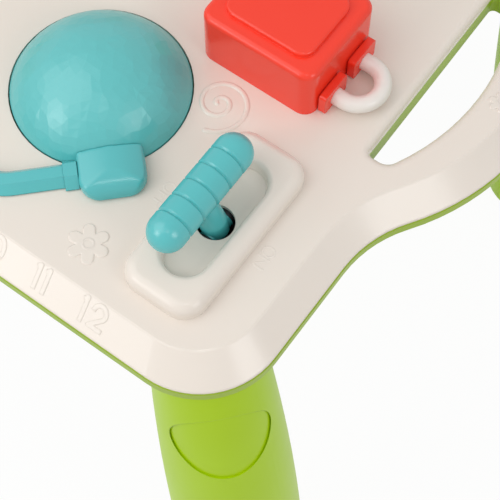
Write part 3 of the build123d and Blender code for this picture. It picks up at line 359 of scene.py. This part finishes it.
@dataclass(frozen=True)
class Relief:
    """A raised mark as an engraver cuts it: strokes with a flat top and a rounded edge.

    Attributes:
        half_width: Half the width of a stroke.
        height: Height of the top over the surface.
        edge: Width of the rounded edge.
        cell: Spacing of the mesh points.
        sink: Depth that the slope round a stroke goes into the surface, so that no gap shows.
        flat_ends: Whether an open stroke is cut square at its ends, not rounded.
        slope_cells: Width of that slope in cells.
        margin_cells: Room round the strokes in cells.
    """

    half_width: float
    height: float
    edge: float
    cell: float = 0.25 * MM
    sink: float = 0.3 * MM
    flat_ends: bool = False
    slope_cells: float = 1.5
    margin_cells: int = 4

    def add(self, mesh: bmesh.types.BMesh, paths: Sequence[Sequence[Point]], place: Matrix) -> None:
        """Adds strokes along paths, run together into one closed form.

        Args:
            mesh: Mesh that takes the form.
            paths: Points of each stroke's middle line, in the plane of the surface.
            place: Matrix that carries that plane onto the table.
        """
        points = np.array([point for path in paths for point in path])
        margin = self.half_width + self.margin_cells * self.cell
        low = points.min(axis=0) - margin
        count = ((points.max(axis=0) + margin - low) / self.cell).astype(int) + 2
        axes = [low[i] + self.cell * np.arange(count[i]) for i in (0, 1)]
        grid = np.stack(np.meshgrid(*axes, indexing="ij"), axis=-1)
        rises = self.profile(self.distance(grid, paths))
        foot = -2 * self.sink
        raised = rises > -self.sink
        kept = raised[:-1, :-1] | raised[1:, :-1] | raised[:-1, 1:] | raised[1:, 1:]
        tops: dict[tuple[int, int], bmesh.types.BMVert] = {}
        feet: dict[tuple[int, int], bmesh.types.BMVert] = {}
        for i, j in np.argwhere(kept):
            ring = [(i, j), (i + 1, j), (i + 1, j + 1), (i, j + 1)]
            for spot in ring:
                if spot not in tops:
                    x, y = grid[spot]
                    tops[spot] = mesh.verts.new(place @ Vector((x, y, rises[spot])))
                    feet[spot] = mesh.verts.new(place @ Vector((x, y, foot)))
            mesh.faces.new([tops[spot] for spot in ring])
            mesh.faces.new([feet[spot] for spot in reversed(ring)])
            for side, beside in enumerate(((i, j - 1), (i + 1, j), (i, j + 1), (i - 1, j))):
                if not kept[beside]:
                    start, end = ring[side], ring[(side + 1) % 4]
                    mesh.faces.new((tops[start], feet[start], feet[end], tops[end]))

    def distance(self, grid: np.ndarray, paths: Sequence[Sequence[Point]]) -> np.ndarray:
        """Distance of each grid point from the outline of the strokes.

        Args:
            grid: Points in the plane of the surface.
            paths: Points of each stroke's middle line.

        Returns:
            The distances, negative inside a stroke.
        """
        nearest = np.full(grid.shape[:2], np.inf)
        for path in paths:
            squared = self.flat_ends and not np.allclose(path[0], path[-1])
            for number, (start, end) in enumerate(zip(path, path[1:])):
                run = np.subtract(end, start)
                length = np.linalg.norm(run)
                offset = grid - np.array(start)
                along = offset @ run / length
                beside = np.abs(offset[..., 0] * run[1] - offset[..., 1] * run[0]) / length
                beyond = np.maximum(np.maximum(-along, along - length), 0.0)
                apart = np.hypot(beside, beyond)
                if squared and number == 0:
                    apart = np.where(along < 0.0, np.maximum(beside, beyond), apart)
                if squared and number == len(path) - 2:
                    apart = np.where(along > length, np.maximum(beside, beyond), apart)
                nearest = np.minimum(nearest, apart)
        return nearest - self.half_width

    def profile(self, distance: np.ndarray) -> np.ndarray:
        """Height over the surface at distances from the outline.

        Args:
            distance: Distances, negative inside a stroke.

        Returns:
            A flat top with a rounded edge, and a short slope down to the sunk foot.
        """
        inward = np.clip(-distance / self.edge, 0.0, 1.0)
        outward = np.clip(distance / (self.slope_cells * self.cell), 0.0, 1.0)
        return self.height * np.sqrt(1.0 - (1.0 - inward) ** 2) - self.sink * outward


class Glyphs:
    """Signs of the table as middle lines, one unit high."""

    LINES: dict[str, list[list[Point]]] = {
        "0": [arc((0.31, 0.5), (0.31, 0.5), 0, 360)],
        "1": [[(-0.03, 0.94), (0.05, 1.0), (0.05, 0.0)]],
        "2": [arc((0.305, 0.69), (0.305, 0.31), 170, -38) + [(0.0, 0.0), (0.575, 0.0)]],
        "3": [arc((0.28, 0.75), (0.26, 0.25), 150, -90), arc((0.28, 0.26), (0.31, 0.26), 90, -150)],
        "4": [[(0.62, 0.3), (0.0, 0.3), (0.44, 1.0), (0.44, 0.0)]],
        "5": [[(0.56, 1.0), (0.1, 1.0), (0.04, 0.5)] + arc((0.28, 0.32), (0.32, 0.32), 125, -145)],
        "6": [arc((0.62, 0.32), (0.62, 0.68), 100, 180) + arc((0.31, 0.32), (0.31, 0.32), 180, 540)[1:]],
        "7": [[(0.0, 1.0), (0.6, 1.0), (0.18, 0.0)]],
        "8": [arc((0.31, 0.755), (0.25, 0.245), 0, 360), arc((0.31, 0.265), (0.31, 0.265), 0, 360)],
        "9": [arc((0.0, 0.68), (0.62, 0.68), -80, 0) + arc((0.31, 0.68), (0.31, 0.32), 0, 360)[1:]],
        "O": [arc((0.42, 0.5), (0.42, 0.5), 0, 360)],
        "N": [[(0.0, 0.0), (0.0, 1.0), (0.9, 0.0), (0.9, 1.0)]],
        "F": [[(0.0, 0.0), (0.0, 1.0), (0.5, 1.0)], [(0.0, 0.53), (0.42, 0.53)]],
    }
    WIDTH: dict[str, float] = {"1": 0.18, "2": 0.6, "O": 0.84, "N": 0.9, "F": 0.5}
    USUAL_WIDTH = 0.62


@dataclass(frozen=True)
class Lettering:
    """Raised numbers and words in strokes of one width.

    Attributes:
        height: Height of the middle lines.
        gap: Space between the middle lines of neighbouring signs.
        slant: Sideways lean of the signs, as a share of their height.
        relief: Section of the strokes.
    """

    height: float
    gap: float
    slant: float
    relief: Relief

    def write(self, mesh: bmesh.types.BMesh, text: str, place: Matrix) -> None:
        """Adds a text, centred on the place.

        Args:
            mesh: Mesh that takes the text.
            text: Signs to write.
            place: Matrix that carries the text's plane onto the table.
        """
        widths = [self.height * Glyphs.WIDTH.get(sign, Glyphs.USUAL_WIDTH) for sign in text]
        start = -(sum(widths) + self.gap * (len(text) - 1)) / 2
        for sign, width in zip(text, widths):
            paths = [[self.spot(point, start) for point in line] for line in Glyphs.LINES[sign]]
            self.relief.add(mesh, paths, place)
            start += width + self.gap

    def spot(self, point: Point, start: float) -> Point:
        """Place of a sign's point in the text's plane.

        Args:
            point: Point of the sign, one unit high.
            start: Left side of the sign.

        Returns:
            The scaled and slanted point.
        """
        rise = self.height * (point[1] - 0.5)
        return (start + self.height * point[0] + self.slant * rise, rise)


@dataclass
class PlayTop:
    """The moulded top with its raised marks, and the tray under it.

    Attributes:
        deck: Height of the deck.
        number_pitch: Space from one number to the next along the front bevel.
        number_count: How many numbers there are.
        number_lift: How far the numbers stand above the middle of the bevel.
        number_shift: How far the row stands to the right of the table's middle.
        bevel_foot: Lower edge of the front bevel.
        bevel_head: Upper edge of the front bevel.
        number_lettering: Size and strokes of the numbers.
        on_lettering: Size and strokes of the word ON.
        off_lettering: Size and strokes of the word OFF, which is almost flush with the deck.
        on_place: Middle of the word ON.
        off_place: Middle of the word OFF.
        swirl_middle: Point that the swirl winds in to.
        swirl_turns: How many turns it has.
        swirl_start: Angle of its outer end in degrees.
        swirl_radii: Its radius at the outer end, and what a turn and a turn squared add to that.
        swirl_steps: How many straight runs it is made of.
        swirl_relief: Section of its line.
        flowers_at: Middle of each flower, and its size as a share of the full one.
        petals: How many petals a flower has.
        petal_turn: Angle of the first petal in degrees.
        petal_reach: Distance of a petal's round end from the middle.
        petal_half_width: Half the width of a petal.
        petal_height: Height of the petals over the deck.
        petal_edge: Width of their rounded edge.
        ring_radius: Radius of the ring on the petals.
        ring_relief: Section of that ring.
    """

    deck: float = 400.0 * MM
    number_pitch: float = 32.4 * MM
    number_count: int = 12
    number_lift: float = 1.5 * MM
    number_shift: float = 1.2 * MM
    bevel_foot: Vector = field(default_factory=lambda: Vector((0.0, -224.28 * MM, 389.34 * MM)))
    bevel_head: Vector = field(default_factory=lambda: Vector((0.0, -210.52 * MM, 399.545 * MM)))
    number_lettering: Lettering = Lettering(
        12.0 * MM, 3.6 * MM, -0.08, Relief(1.35 * MM, 0.4 * MM, 0.4 * MM, flat_ends=True)
    )
    on_lettering: Lettering = Lettering(6.5 * MM, 1.3 * MM, 0.0, Relief(0.6 * MM, 0.16 * MM, 0.3 * MM))
    off_lettering: Lettering = Lettering(6.5 * MM, 1.8 * MM, 0.0, Relief(0.6 * MM, 0.06 * MM, 0.3 * MM))
    on_place: Point = (230.7 * MM, -143.3 * MM)
    off_place: Point = (168.9 * MM, -144.8 * MM)
    swirl_middle: Point = (159.5 * MM, -84.5 * MM)
    swirl_turns: float = 1.83
    swirl_start: float = -79.5
    swirl_radii: Place = (18.0 * MM, -11.62 * MM, 1.45 * MM)
    swirl_steps: int = 120
    swirl_relief: Relief = Relief(1.3 * MM, 0.65 * MM, 1.1 * MM, cell=0.3 * MM)
    flowers_at: tuple[Place, ...] = (
        (155.0 * MM, -189.2 * MM, 1.0),
        (278.8 * MM, 2.0 * MM, 0.55),
        (-278.8 * MM, 2.0 * MM, 0.55),
    )
    petals: int = 6
    petal_turn: float = 5.0
    petal_reach: float = 8.1 * MM
    petal_half_width: float = 3.3 * MM
    petal_height: float = 0.6 * MM
    petal_edge: float = 0.6 * MM
    ring_radius: float = 2.8 * MM
    ring_relief: Relief = Relief(0.45 * MM, 0.1 * MM, 0.3 * MM)

    def build(self, wardrobe: Wardrobe) -> None:
        """Dresses the top and the tray and adds the raised marks.

        Args:
            wardrobe: Source of the finishes.
        """
        wardrobe.dress(Finish.CREAM, ["top_shell"])
        wardrobe.dress(Finish.SAGE, ["base_tray", "battery_door"])
        self.numbers(wardrobe)
        self.words(wardrobe)
        self.swirl(wardrobe)
        self.flowers(wardrobe)

    def level(self, x: float, y: float, lift: float = 0.0) -> Matrix:
        """Matrix of the deck's plane about a place, raised by lift."""
        return Matrix.Translation((x, y, self.deck + lift))

    def numbers(self, wardrobe: Wardrobe) -> None:
        """Adds the row of numbers on the front bevel.

        Args:
            wardrobe: Source of the finishes.
        """
        up = (self.bevel_head - self.bevel_foot).normalized()
        out = Vector((1.0, 0.0, 0.0)).cross(up)
        middle = (self.bevel_head + self.bevel_foot) / 2 + self.number_lift * up
        for number in range(1, self.number_count + 1):
            along = (number - (self.number_count + 1) / 2) * self.number_pitch + self.number_shift
            place = Matrix.Translation((along, middle.y, middle.z))
            place @= Matrix(((1, 0, 0), (0, up.y, out.y), (0, up.z, out.z))).to_4x4()
            mesh = bmesh.new()
            self.number_lettering.write(mesh, str(number), place)
            wardrobe.piece(f"number_{number}", mesh, Finish.CREAM, "deck_cream")

    def words(self, wardrobe: Wardrobe) -> None:
        """Adds the two words beside the lever, which read from the left-hand end of the table.

        Args:
            wardrobe: Source of the finishes.
        """
        turned = Matrix.Rotation(math.radians(-90), 4, "Z")
        words = {"ON": (self.on_lettering, self.on_place), "OFF": (self.off_lettering, self.off_place)}
        for text, (lettering, spot) in words.items():
            mesh = bmesh.new()
            lettering.write(mesh, text, self.level(*spot) @ turned)
            wardrobe.piece(f"word_{text.lower()}", mesh, Finish.CREAM, "deck_cream")

    def swirl(self, wardrobe: Wardrobe) -> None:
        """Adds the swirl, a raised line that winds in towards its middle.

        Args:
            wardrobe: Source of the finishes.
        """
        outer, slope, bend = self.swirl_radii
        path = []
        for i in range(self.swirl_steps + 1):
            turn = self.swirl_turns * i / self.swirl_steps
            radius = bend * turn * turn + slope * turn + outer
            angle = math.radians(self.swirl_start + 360 * turn)
            path.append((radius * math.cos(angle), radius * math.sin(angle)))
        mesh = bmesh.new()
        self.swirl_relief.add(mesh, [path], self.level(*self.swirl_middle))
        wardrobe.piece("deck_swirl", mesh, Finish.CREAM, "deck_cream")

    def flowers(self, wardrobe: Wardrobe) -> None:
        """Adds the flowers, each a raised plate of round petals with a faint ring on it.

        Args:
            wardrobe: Source of the finishes.
        """
        for number, (x, y, share) in enumerate(self.flowers_at, start=1):
            plate = Relief(share * self.petal_half_width, self.petal_height, self.petal_edge)
            reach = share * self.petal_reach
            turns = [math.radians(self.petal_turn + 360 * i / self.petals) for i in range(self.petals)]
            spokes = [[(0.0, 0.0), (reach * math.cos(a), reach * math.sin(a))] for a in turns]
            radius = share * self.ring_radius
            ring = arc((0.0, 0.0), (radius, radius), 0, 360)
            mesh = bmesh.new()
            plate.add(mesh, spokes, self.level(x, y))
            self.ring_relief.add(mesh, [ring], self.level(x, y, self.petal_height))
            wardrobe.piece(f"flower_{number}", mesh, Finish.CREAM, "deck_cream")


@dataclass
class SoundDome:
    """The dome's thin cap, cut into faint triangular facets, with its skirt through the deck.

    Attributes:
        middle: Middle of the dome at the deck.
        radius: Radius of the cap at the deck.
        height: Height of the crown over the deck.
        skirt: Depth of the skirt below the deck.
        wall: Thickness of the wall.
        sectors: How many wedges of facets meet at the crown.
        facet_rings: How many rings of facets there are from the crown to the rim.
        rim_splits: How many runs the side of a facet has, so that the rim is round.
        unevenness: How far a corner lies above or below the even cap.
        wander: How far a corner lies beside its even place, as a share of a ring.
        rise_waves: Waves of the unevenness for each ring, and round the crown.
        ring_waves: The same for the way out from the crown.
        turn_waves: The same for the way round it.
        weld: Distance under which the corners of neighbouring facets become one.
    """

    middle: Vector = field(default_factory=lambda: Vector((102.8 * MM, -113.3 * MM, 400.0 * MM)))
    radius: float = 48.4 * MM
    height: float = 30.0 * MM
    skirt: float = 4.5 * MM
    wall: float = 2.2 * MM
    sectors: int = 6
    facet_rings: int = 12
    rim_splits: int = 4
    unevenness: float = 0.13 * MM
    wander: float = 0.2
    # The waves round the crown are whole, so that they close
    rise_waves: tuple[int, int] = (11, 29)
    ring_waves: tuple[int, int] = (7, 17)
    turn_waves: tuple[int, int] = (5, 23)
    weld: float = 0.001 * MM

    def build(self, wardrobe: Wardrobe) -> None:
        """Adds the faceted cap in place of the plain one.

        Args:
            wardrobe: Source of the finishes.
        """
        mesh = bmesh.new()
        for ring in range(self.facet_rings):
            for corners in self.ring_facets(ring):
                self.facet(mesh, corners)
        bmesh.ops.remove_doubles(mesh, verts=mesh.verts, dist=self.weld)
        rim = [e for e in mesh.edges if e.is_boundary]
        lower = bmesh.ops.extrude_edge_only(mesh, edges=rim)["geom"]
        feet = [v for v in lower if isinstance(v, bmesh.types.BMVert)]
        bmesh.ops.translate(mesh, verts=feet, vec=(0.0, 0.0, -self.skirt))
        dome = wardrobe.piece("faceted_dome", mesh, Finish.DOME, "dome_turquoise")
        thick = dome.modifiers.new("wall", "SOLIDIFY")
        thick.thickness = self.wall
        thick.offset = -1.0
        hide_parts("sound_dome")

    def ball(self) -> float:
        """Radius of the ball that the cap is cut from."""
        return (self.radius**2 + self.height**2) / (2 * self.height)

    def on_cap(self, ring: float, turn: float) -> Vector:
        """Corner of a facet, a little off its even place except at the crown and the rim.

        Args:
            ring: Distance from the crown in rings.
            turn: Angle round the crown in radians.

        Returns:
            The point in the table's frame.
        """
        moves = (self.rise_waves, self.ring_waves, self.turn_waves)
        lift, out, aside = (math.sin(a * ring + b * turn) for a, b in moves)
        inside = 0 < ring < self.facet_rings
        way = ring + (self.wander * out if inside else 0.0)
        lean = math.asin(self.radius / self.ball()) * way / self.facet_rings
        spoke = self.ball() * math.sin(lean)
        rise = self.height - self.ball() * (1 - math.cos(lean))
        if inside:
            rise += self.unevenness * lift
            turn += self.wander * aside / ring
        return self.middle + Vector((spoke * math.cos(turn), spoke * math.sin(turn), rise))

    def ring_facets(self, ring: int) -> list[list[Point]]:
        """Corners of the triangles between two rings.

        Args:
            ring: Number of the inner ring.

        Returns:
            For each triangle its three corners as ring number and angle.
        """
        facets = []
        wedge = 2 * math.pi / self.sectors
        for sector in range(self.sectors):
            start = sector * wedge
            inner = [(ring, start + wedge * i / max(ring, 1)) for i in range(ring + 1)]
            outer = [(ring + 1, start + wedge * i / (ring + 1)) for i in range(ring + 2)]
            facets += [[inner[i], outer[i], outer[i + 1]] for i in range(ring + 1)]
            facets += [[inner[i], outer[i + 1], inner[i + 1]] for i in range(ring)]
        return facets

    def facet(self, mesh: bmesh.types.BMesh, corners: Sequence[Point]) -> None:
        """Adds one flat facet with sharp sides; at the rim its outer side is drawn out to the circle.

        Args:
            mesh: Mesh that takes the facet.
            corners: Three corners as ring number and angle.
        """
        flat = [self.on_cap(*corner) for corner in corners]
        core = self.middle + Vector((0.0, 0.0, self.height - self.ball()))
        count = self.rim_splits
        grid = {}
        for i in range(count + 1):
            for j in range(count + 1 - i):
                shares = (i, j, count - i - j)
                level = sum((spot * share for spot, share in zip(flat, shares)), Vector()) / count
                on_ball = core + (level - core).normalized() * self.ball()
                on_rim = all(c[0] == self.facet_rings for c, share in zip(corners, shares) if share)
                grid[i, j] = mesh.verts.new(on_ball if on_rim else level)
        faces = []
        for i in range(count):
            for j in range(count - i):
                faces.append(mesh.faces.new((grid[i, j], grid[i + 1, j], grid[i, j + 1])))
                if i + j < count - 1:
                    faces.append(mesh.faces.new((grid[i + 1, j], grid[i + 1, j + 1], grid[i, j + 1])))
        for face in faces:
            for edge in face.edges:
                edge.smooth = not edge.is_boundary


@dataclass
class Stations:
    """The things on the deck that a child plays with.

    Attributes:
        turquoise: Nodes in turquoise.
        red: Nodes in red.
        white: Nodes in white.
        lime: Nodes in lime green.
        pod_skin: Mesh spacing of the pod's skin.
        pod_pull: How far a pass pulls each point towards its neighbours.
        pod_passes: How many passes round the pod's corners.
    """

    turquoise: tuple[str, ...] = (
        "lever", "elbow_pod", "pipe_collars", "bent_pipe", "gear_large", "roller_frame", "key_3",
    )
    red: tuple[str, ...] = ("pump_box", "pump_flanges", "gear_medium", "key_1", "key_5")
    white: tuple[str, ...] = ("loop_pipe", "gear_caps", "gear_posts", "key_2", "key_4")
    lime: tuple[str, ...] = ("gear_small", "roller_drum", "keyboard_housing")
    pod_skin: float = 0.4 * MM
    pod_pull: float = 0.5
    pod_passes: int = 40

    def build(self, wardrobe: Wardrobe) -> None:
        """Dresses the stations and rounds the pod.

        Args:
            wardrobe: Source of the finishes.
        """
        wardrobe.dress(Finish.TURQUOISE, self.turquoise)
        wardrobe.dress(Finish.RED, self.red)
        wardrobe.dress(Finish.WHITE, self.white)
        wardrobe.dress(Finish.LIME, self.lime)
        self.round_pod(wardrobe)

    def round_pod(self, wardrobe: Wardrobe) -> None:
        """Adds the pod with soft corners all over, as its mould leaves them.

        Args:
            wardrobe: Source of the finishes.
        """
        mesh = bmesh.new()
        mesh.from_mesh(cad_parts["elbow_pod"].data)
        pod = wardrobe.piece("rounded_pod", mesh, Finish.TURQUOISE, "turquoise")
        skin = pod.modifiers.new("even_skin", "REMESH")
        skin.mode = "VOXEL"
        skin.voxel_size = self.pod_skin
        skin.use_smooth_shade = True
        soft = pod.modifiers.new("rounded_corners", "SMOOTH")
        soft.factor = self.pod_pull
        soft.iterations = self.pod_passes
        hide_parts("elbow_pod")


@dataclass
class Underframe:
    """The legs and their pads, the axles, and the works that the tray closes up.

    Attributes:
        legs: The four legs.
        rubber: Nodes of rubber.
        steel: Nodes of plated steel.
        black: Nodes of black plastic.
        boards: Circuit boards.
        lamps: Lamps.
        cells: Battery cells.
    """

    legs: tuple[str, ...] = ("leg_front_right", "leg_front_left", "leg_rear_right", "leg_rear_left")
    rubber: tuple[str, ...] = ("foot_pads", "key_contacts")
    steel: tuple[str, ...] = (
        "lever_axle", "key_axle", "roller_axle", "tray_screws", "door_screw", "battery_contacts",
    )
    black: tuple[str, ...] = ("lever_bracket", "lever_switch", "battery_box", "speaker")
    boards: tuple[str, ...] = ("circuit_board", "lamp_board")
    lamps: tuple[str, ...] = ("dome_lamp",)
    cells: tuple[str, ...] = ("battery_cells",)

    def build(self, wardrobe: Wardrobe) -> None:
        """Dresses the legs and the works.

        Args:
            wardrobe: Source of the finishes.
        """
        wardrobe.dress(Finish.LIME, self.legs)
        wardrobe.dress(Finish.RUBBER, self.rubber)
        wardrobe.dress(Finish.STEEL, self.steel)
        wardrobe.dress(Finish.BLACK, self.black)
        wardrobe.dress(Finish.BOARD, self.boards)
        wardrobe.dress(Finish.LENS, self.lamps)
        wardrobe.dress(Finish.JACKET, self.cells)


@dataclass(frozen=True)
class SoftBox:
    """A rectangular studio lamp.

    Attributes:
        name: Name of the lamp.
        place: Middle of its face.
        aim: Point that it faces.
        size: Width and height of its face.
        power: Power in watts.
    """

    name: str
    place: Place
    aim: Place
    size: Point
    power: float

    def build(self) -> None:
        """Places the lamp."""
        data = bpy.data.lights.new(self.name, "AREA")
        data.shape = "RECTANGLE"
        data.size, data.size_y = self.size
        data.energy = self.power
        lamp = bpy.data.objects.new(self.name, data)
        lamp.location = self.place
        away = Vector(self.place) - Vector(self.aim)
        lamp.rotation_euler = away.to_track_quat("Z", "Y").to_euler()
        bpy.context.scene.collection.objects.link(lamp)
        LOG.info("lamp %s placed", self.name)


@dataclass
class Studio:
    """White floor, soft lamps and the camera that looks down on the front right corner.

    Attributes:
        target: Point that the camera looks at.
        distance: Distance of the camera from it.
        azimuth: Angle of the camera round the table in degrees, from the front towards the right.
        elevation: Angle of the camera over the deck in degrees.
        roll: Lean of the camera in degrees.
        lens: Focal length in millimetres.
        sensor: Width of the camera's sensor in millimetres.
        near_clip: Distance at which the camera starts to see.
        floor_half: Half the width of the floor.
        floor_colour: Colour of the floor in sRGB hex.
        camera_white: Share of plain white in what the camera sees of the floor; the rest takes the shadow.
        world_colour: Colour of the room's light in sRGB hex.
        world_strength: Strength of that light.
        lamps: The studio's lamps.
    """

    target: Vector = field(default_factory=lambda: Vector((222.5 * MM, -144.3 * MM, 400.0 * MM)))
    distance: float = 707.5 * MM
    azimuth: float = 36.13
    elevation: float = 64.75
    roll: float = -0.2
    lens: float = 101.88
    sensor: float = 36.0
    near_clip: float = 10.0 * MM
    floor_half: float = 6.0
    floor_colour: str = "#F4F3F1"
    camera_white: float = 0.95
    world_colour: str = "#F4F4F4"
    world_strength: float = 0.65
    lamps: tuple[SoftBox, ...] = (
        SoftBox("front_softbox", (-0.37, -1.13, 0.98), (-0.37, -0.217, 0.40), (0.64, 0.50), 2.7),
        SoftBox("side_softbox", (1.11, -0.235, 0.97), (0.264, -0.235, 0.40), (0.40, 0.50), 2.0),
        SoftBox("key_softbox", (-0.66, -0.79, 1.70), (0.2225, -0.1443, 0.40), (1.7, 1.7), 10.8),
        SoftBox("near_strip", (0.46, -0.44, 1.29), (0.13, -0.13, 0.41), (0.10, 0.06), 0.32),
    )

    def build(self) -> None:
        """Builds the floor, the room's light, the lamps and the camera."""
        self.floor()
        self.world()
        for lamp in self.lamps:
            lamp.build()
        self.camera()
        bpy.context.scene.view_settings.view_transform = "Standard"

    def floor(self) -> None:
        """Lays the floor, which looks white to the camera and still takes a faint shadow."""
        mesh = bmesh.new()
        bmesh.ops.create_grid(mesh, x_segments=1, y_segments=1, size=self.floor_half)
        data = bpy.data.meshes.new("studio_floor")
        mesh.to_mesh(data)
        mesh.free()
        floor = bpy.data.objects.new("studio_floor", data)
        bpy.context.scene.collection.objects.link(floor)
        material = bpy.data.materials.new("matt_studio_paper")
        material.use_nodes = True
        tree = material.node_tree
        tree.nodes.clear()
        share = add_node(tree, "ShaderNodeMath", {"operation": "MULTIPLY"}, {0: self.seen(tree)})
        share.inputs[1].default_value = self.camera_white
        paper = add_node(tree, "ShaderNodeBsdfDiffuse", {"Color": linear(self.floor_colour)})
        glow = add_node(tree, "ShaderNodeEmission", {"Strength": 1.0})
        mixed = {0: share.outputs[0], 1: paper.outputs[0], 2: glow.outputs[0]}
        blend = add_node(tree, "ShaderNodeMixShader", None, mixed)
        add_node(tree, "ShaderNodeOutputMaterial", None, {"Surface": blend.outputs[0]})
        data.materials.append(material)
        LOG.info("floor laid")

    def world(self) -> None:
        """Fills the room with even light, white to the camera."""
        world = bpy.data.worlds.new("studio_room")
        world.use_nodes = True
        bpy.context.scene.world = world
        tree = world.node_tree
        tree.nodes.clear()
        room = {"Color": linear(self.world_colour), "Strength": self.world_strength}
        light = add_node(tree, "ShaderNodeBackground", room)
        white = add_node(tree, "ShaderNodeBackground", {"Color": linear("#FFFFFF"), "Strength": 1.0})
        mixed = {0: self.seen(tree), 1: light.outputs[0], 2: white.outputs[0]}
        blend = add_node(tree, "ShaderNodeMixShader", None, mixed)
        add_node(tree, "ShaderNodeOutputWorld", None, {"Surface": blend.outputs[0]})
        LOG.info("room lit")

    def seen(self, tree: bpy.types.NodeTree) -> bpy.types.NodeSocket:
        """Picks out the rays that end in the eye: straight, by reflection or through a clear piece.

        Args:
            tree: Node tree that takes the nodes.

        Returns:
            Socket that is 1 for such a ray and 0 for one that only carries light.
        """
        ways = add_node(tree, "ShaderNodeLightPath").outputs
        bounced = {0: ways["Is Glossy Ray"], 1: ways["Is Transmission Ray"]}
        bounce = add_node(tree, "ShaderNodeMath", {"operation": "MAXIMUM"}, bounced)
        either = {0: ways["Is Camera Ray"], 1: bounce.outputs[0]}
        return add_node(tree, "ShaderNodeMath", {"operation": "MAXIMUM"}, either).outputs[0]

    def camera(self) -> None:
        """Sets the camera at the photograph's angle."""
        turn, lift, lean = (math.radians(v) for v in (self.azimuth, self.elevation, self.roll))
        back = Vector((math.sin(turn) * math.cos(lift), -math.cos(turn) * math.cos(lift), math.sin(lift)))
        level = Vector((math.cos(turn), math.sin(turn), 0.0))
        rise = back.cross(level)
        right = math.cos(lean) * level + math.sin(lean) * rise
        up = math.cos(lean) * rise - math.sin(lean) * level
        data = bpy.data.cameras.new("photo_camera")
        data.lens = self.lens
        data.sensor_width = self.sensor
        data.clip_start = self.near_clip
        camera = bpy.data.objects.new("photo_camera", data)
        camera.matrix_world = Matrix((right, up, back)).transposed().to_4x4()
        camera.location = self.target + self.distance * back
        bpy.context.scene.collection.objects.link(camera)
        bpy.context.scene.camera = camera
        LOG.info("camera placed")


def main() -> None:
    """Builds the table's looks and the studio."""
    logging.basicConfig(level=logging.INFO, format="%(name)s: %(message)s")
    wardrobe = Wardrobe()
    for part in (PlayTop(), SoundDome(), Stations(), Underframe()):
        part.build(wardrobe)
    Studio().build()


if __name__ == "__main__":
    main()
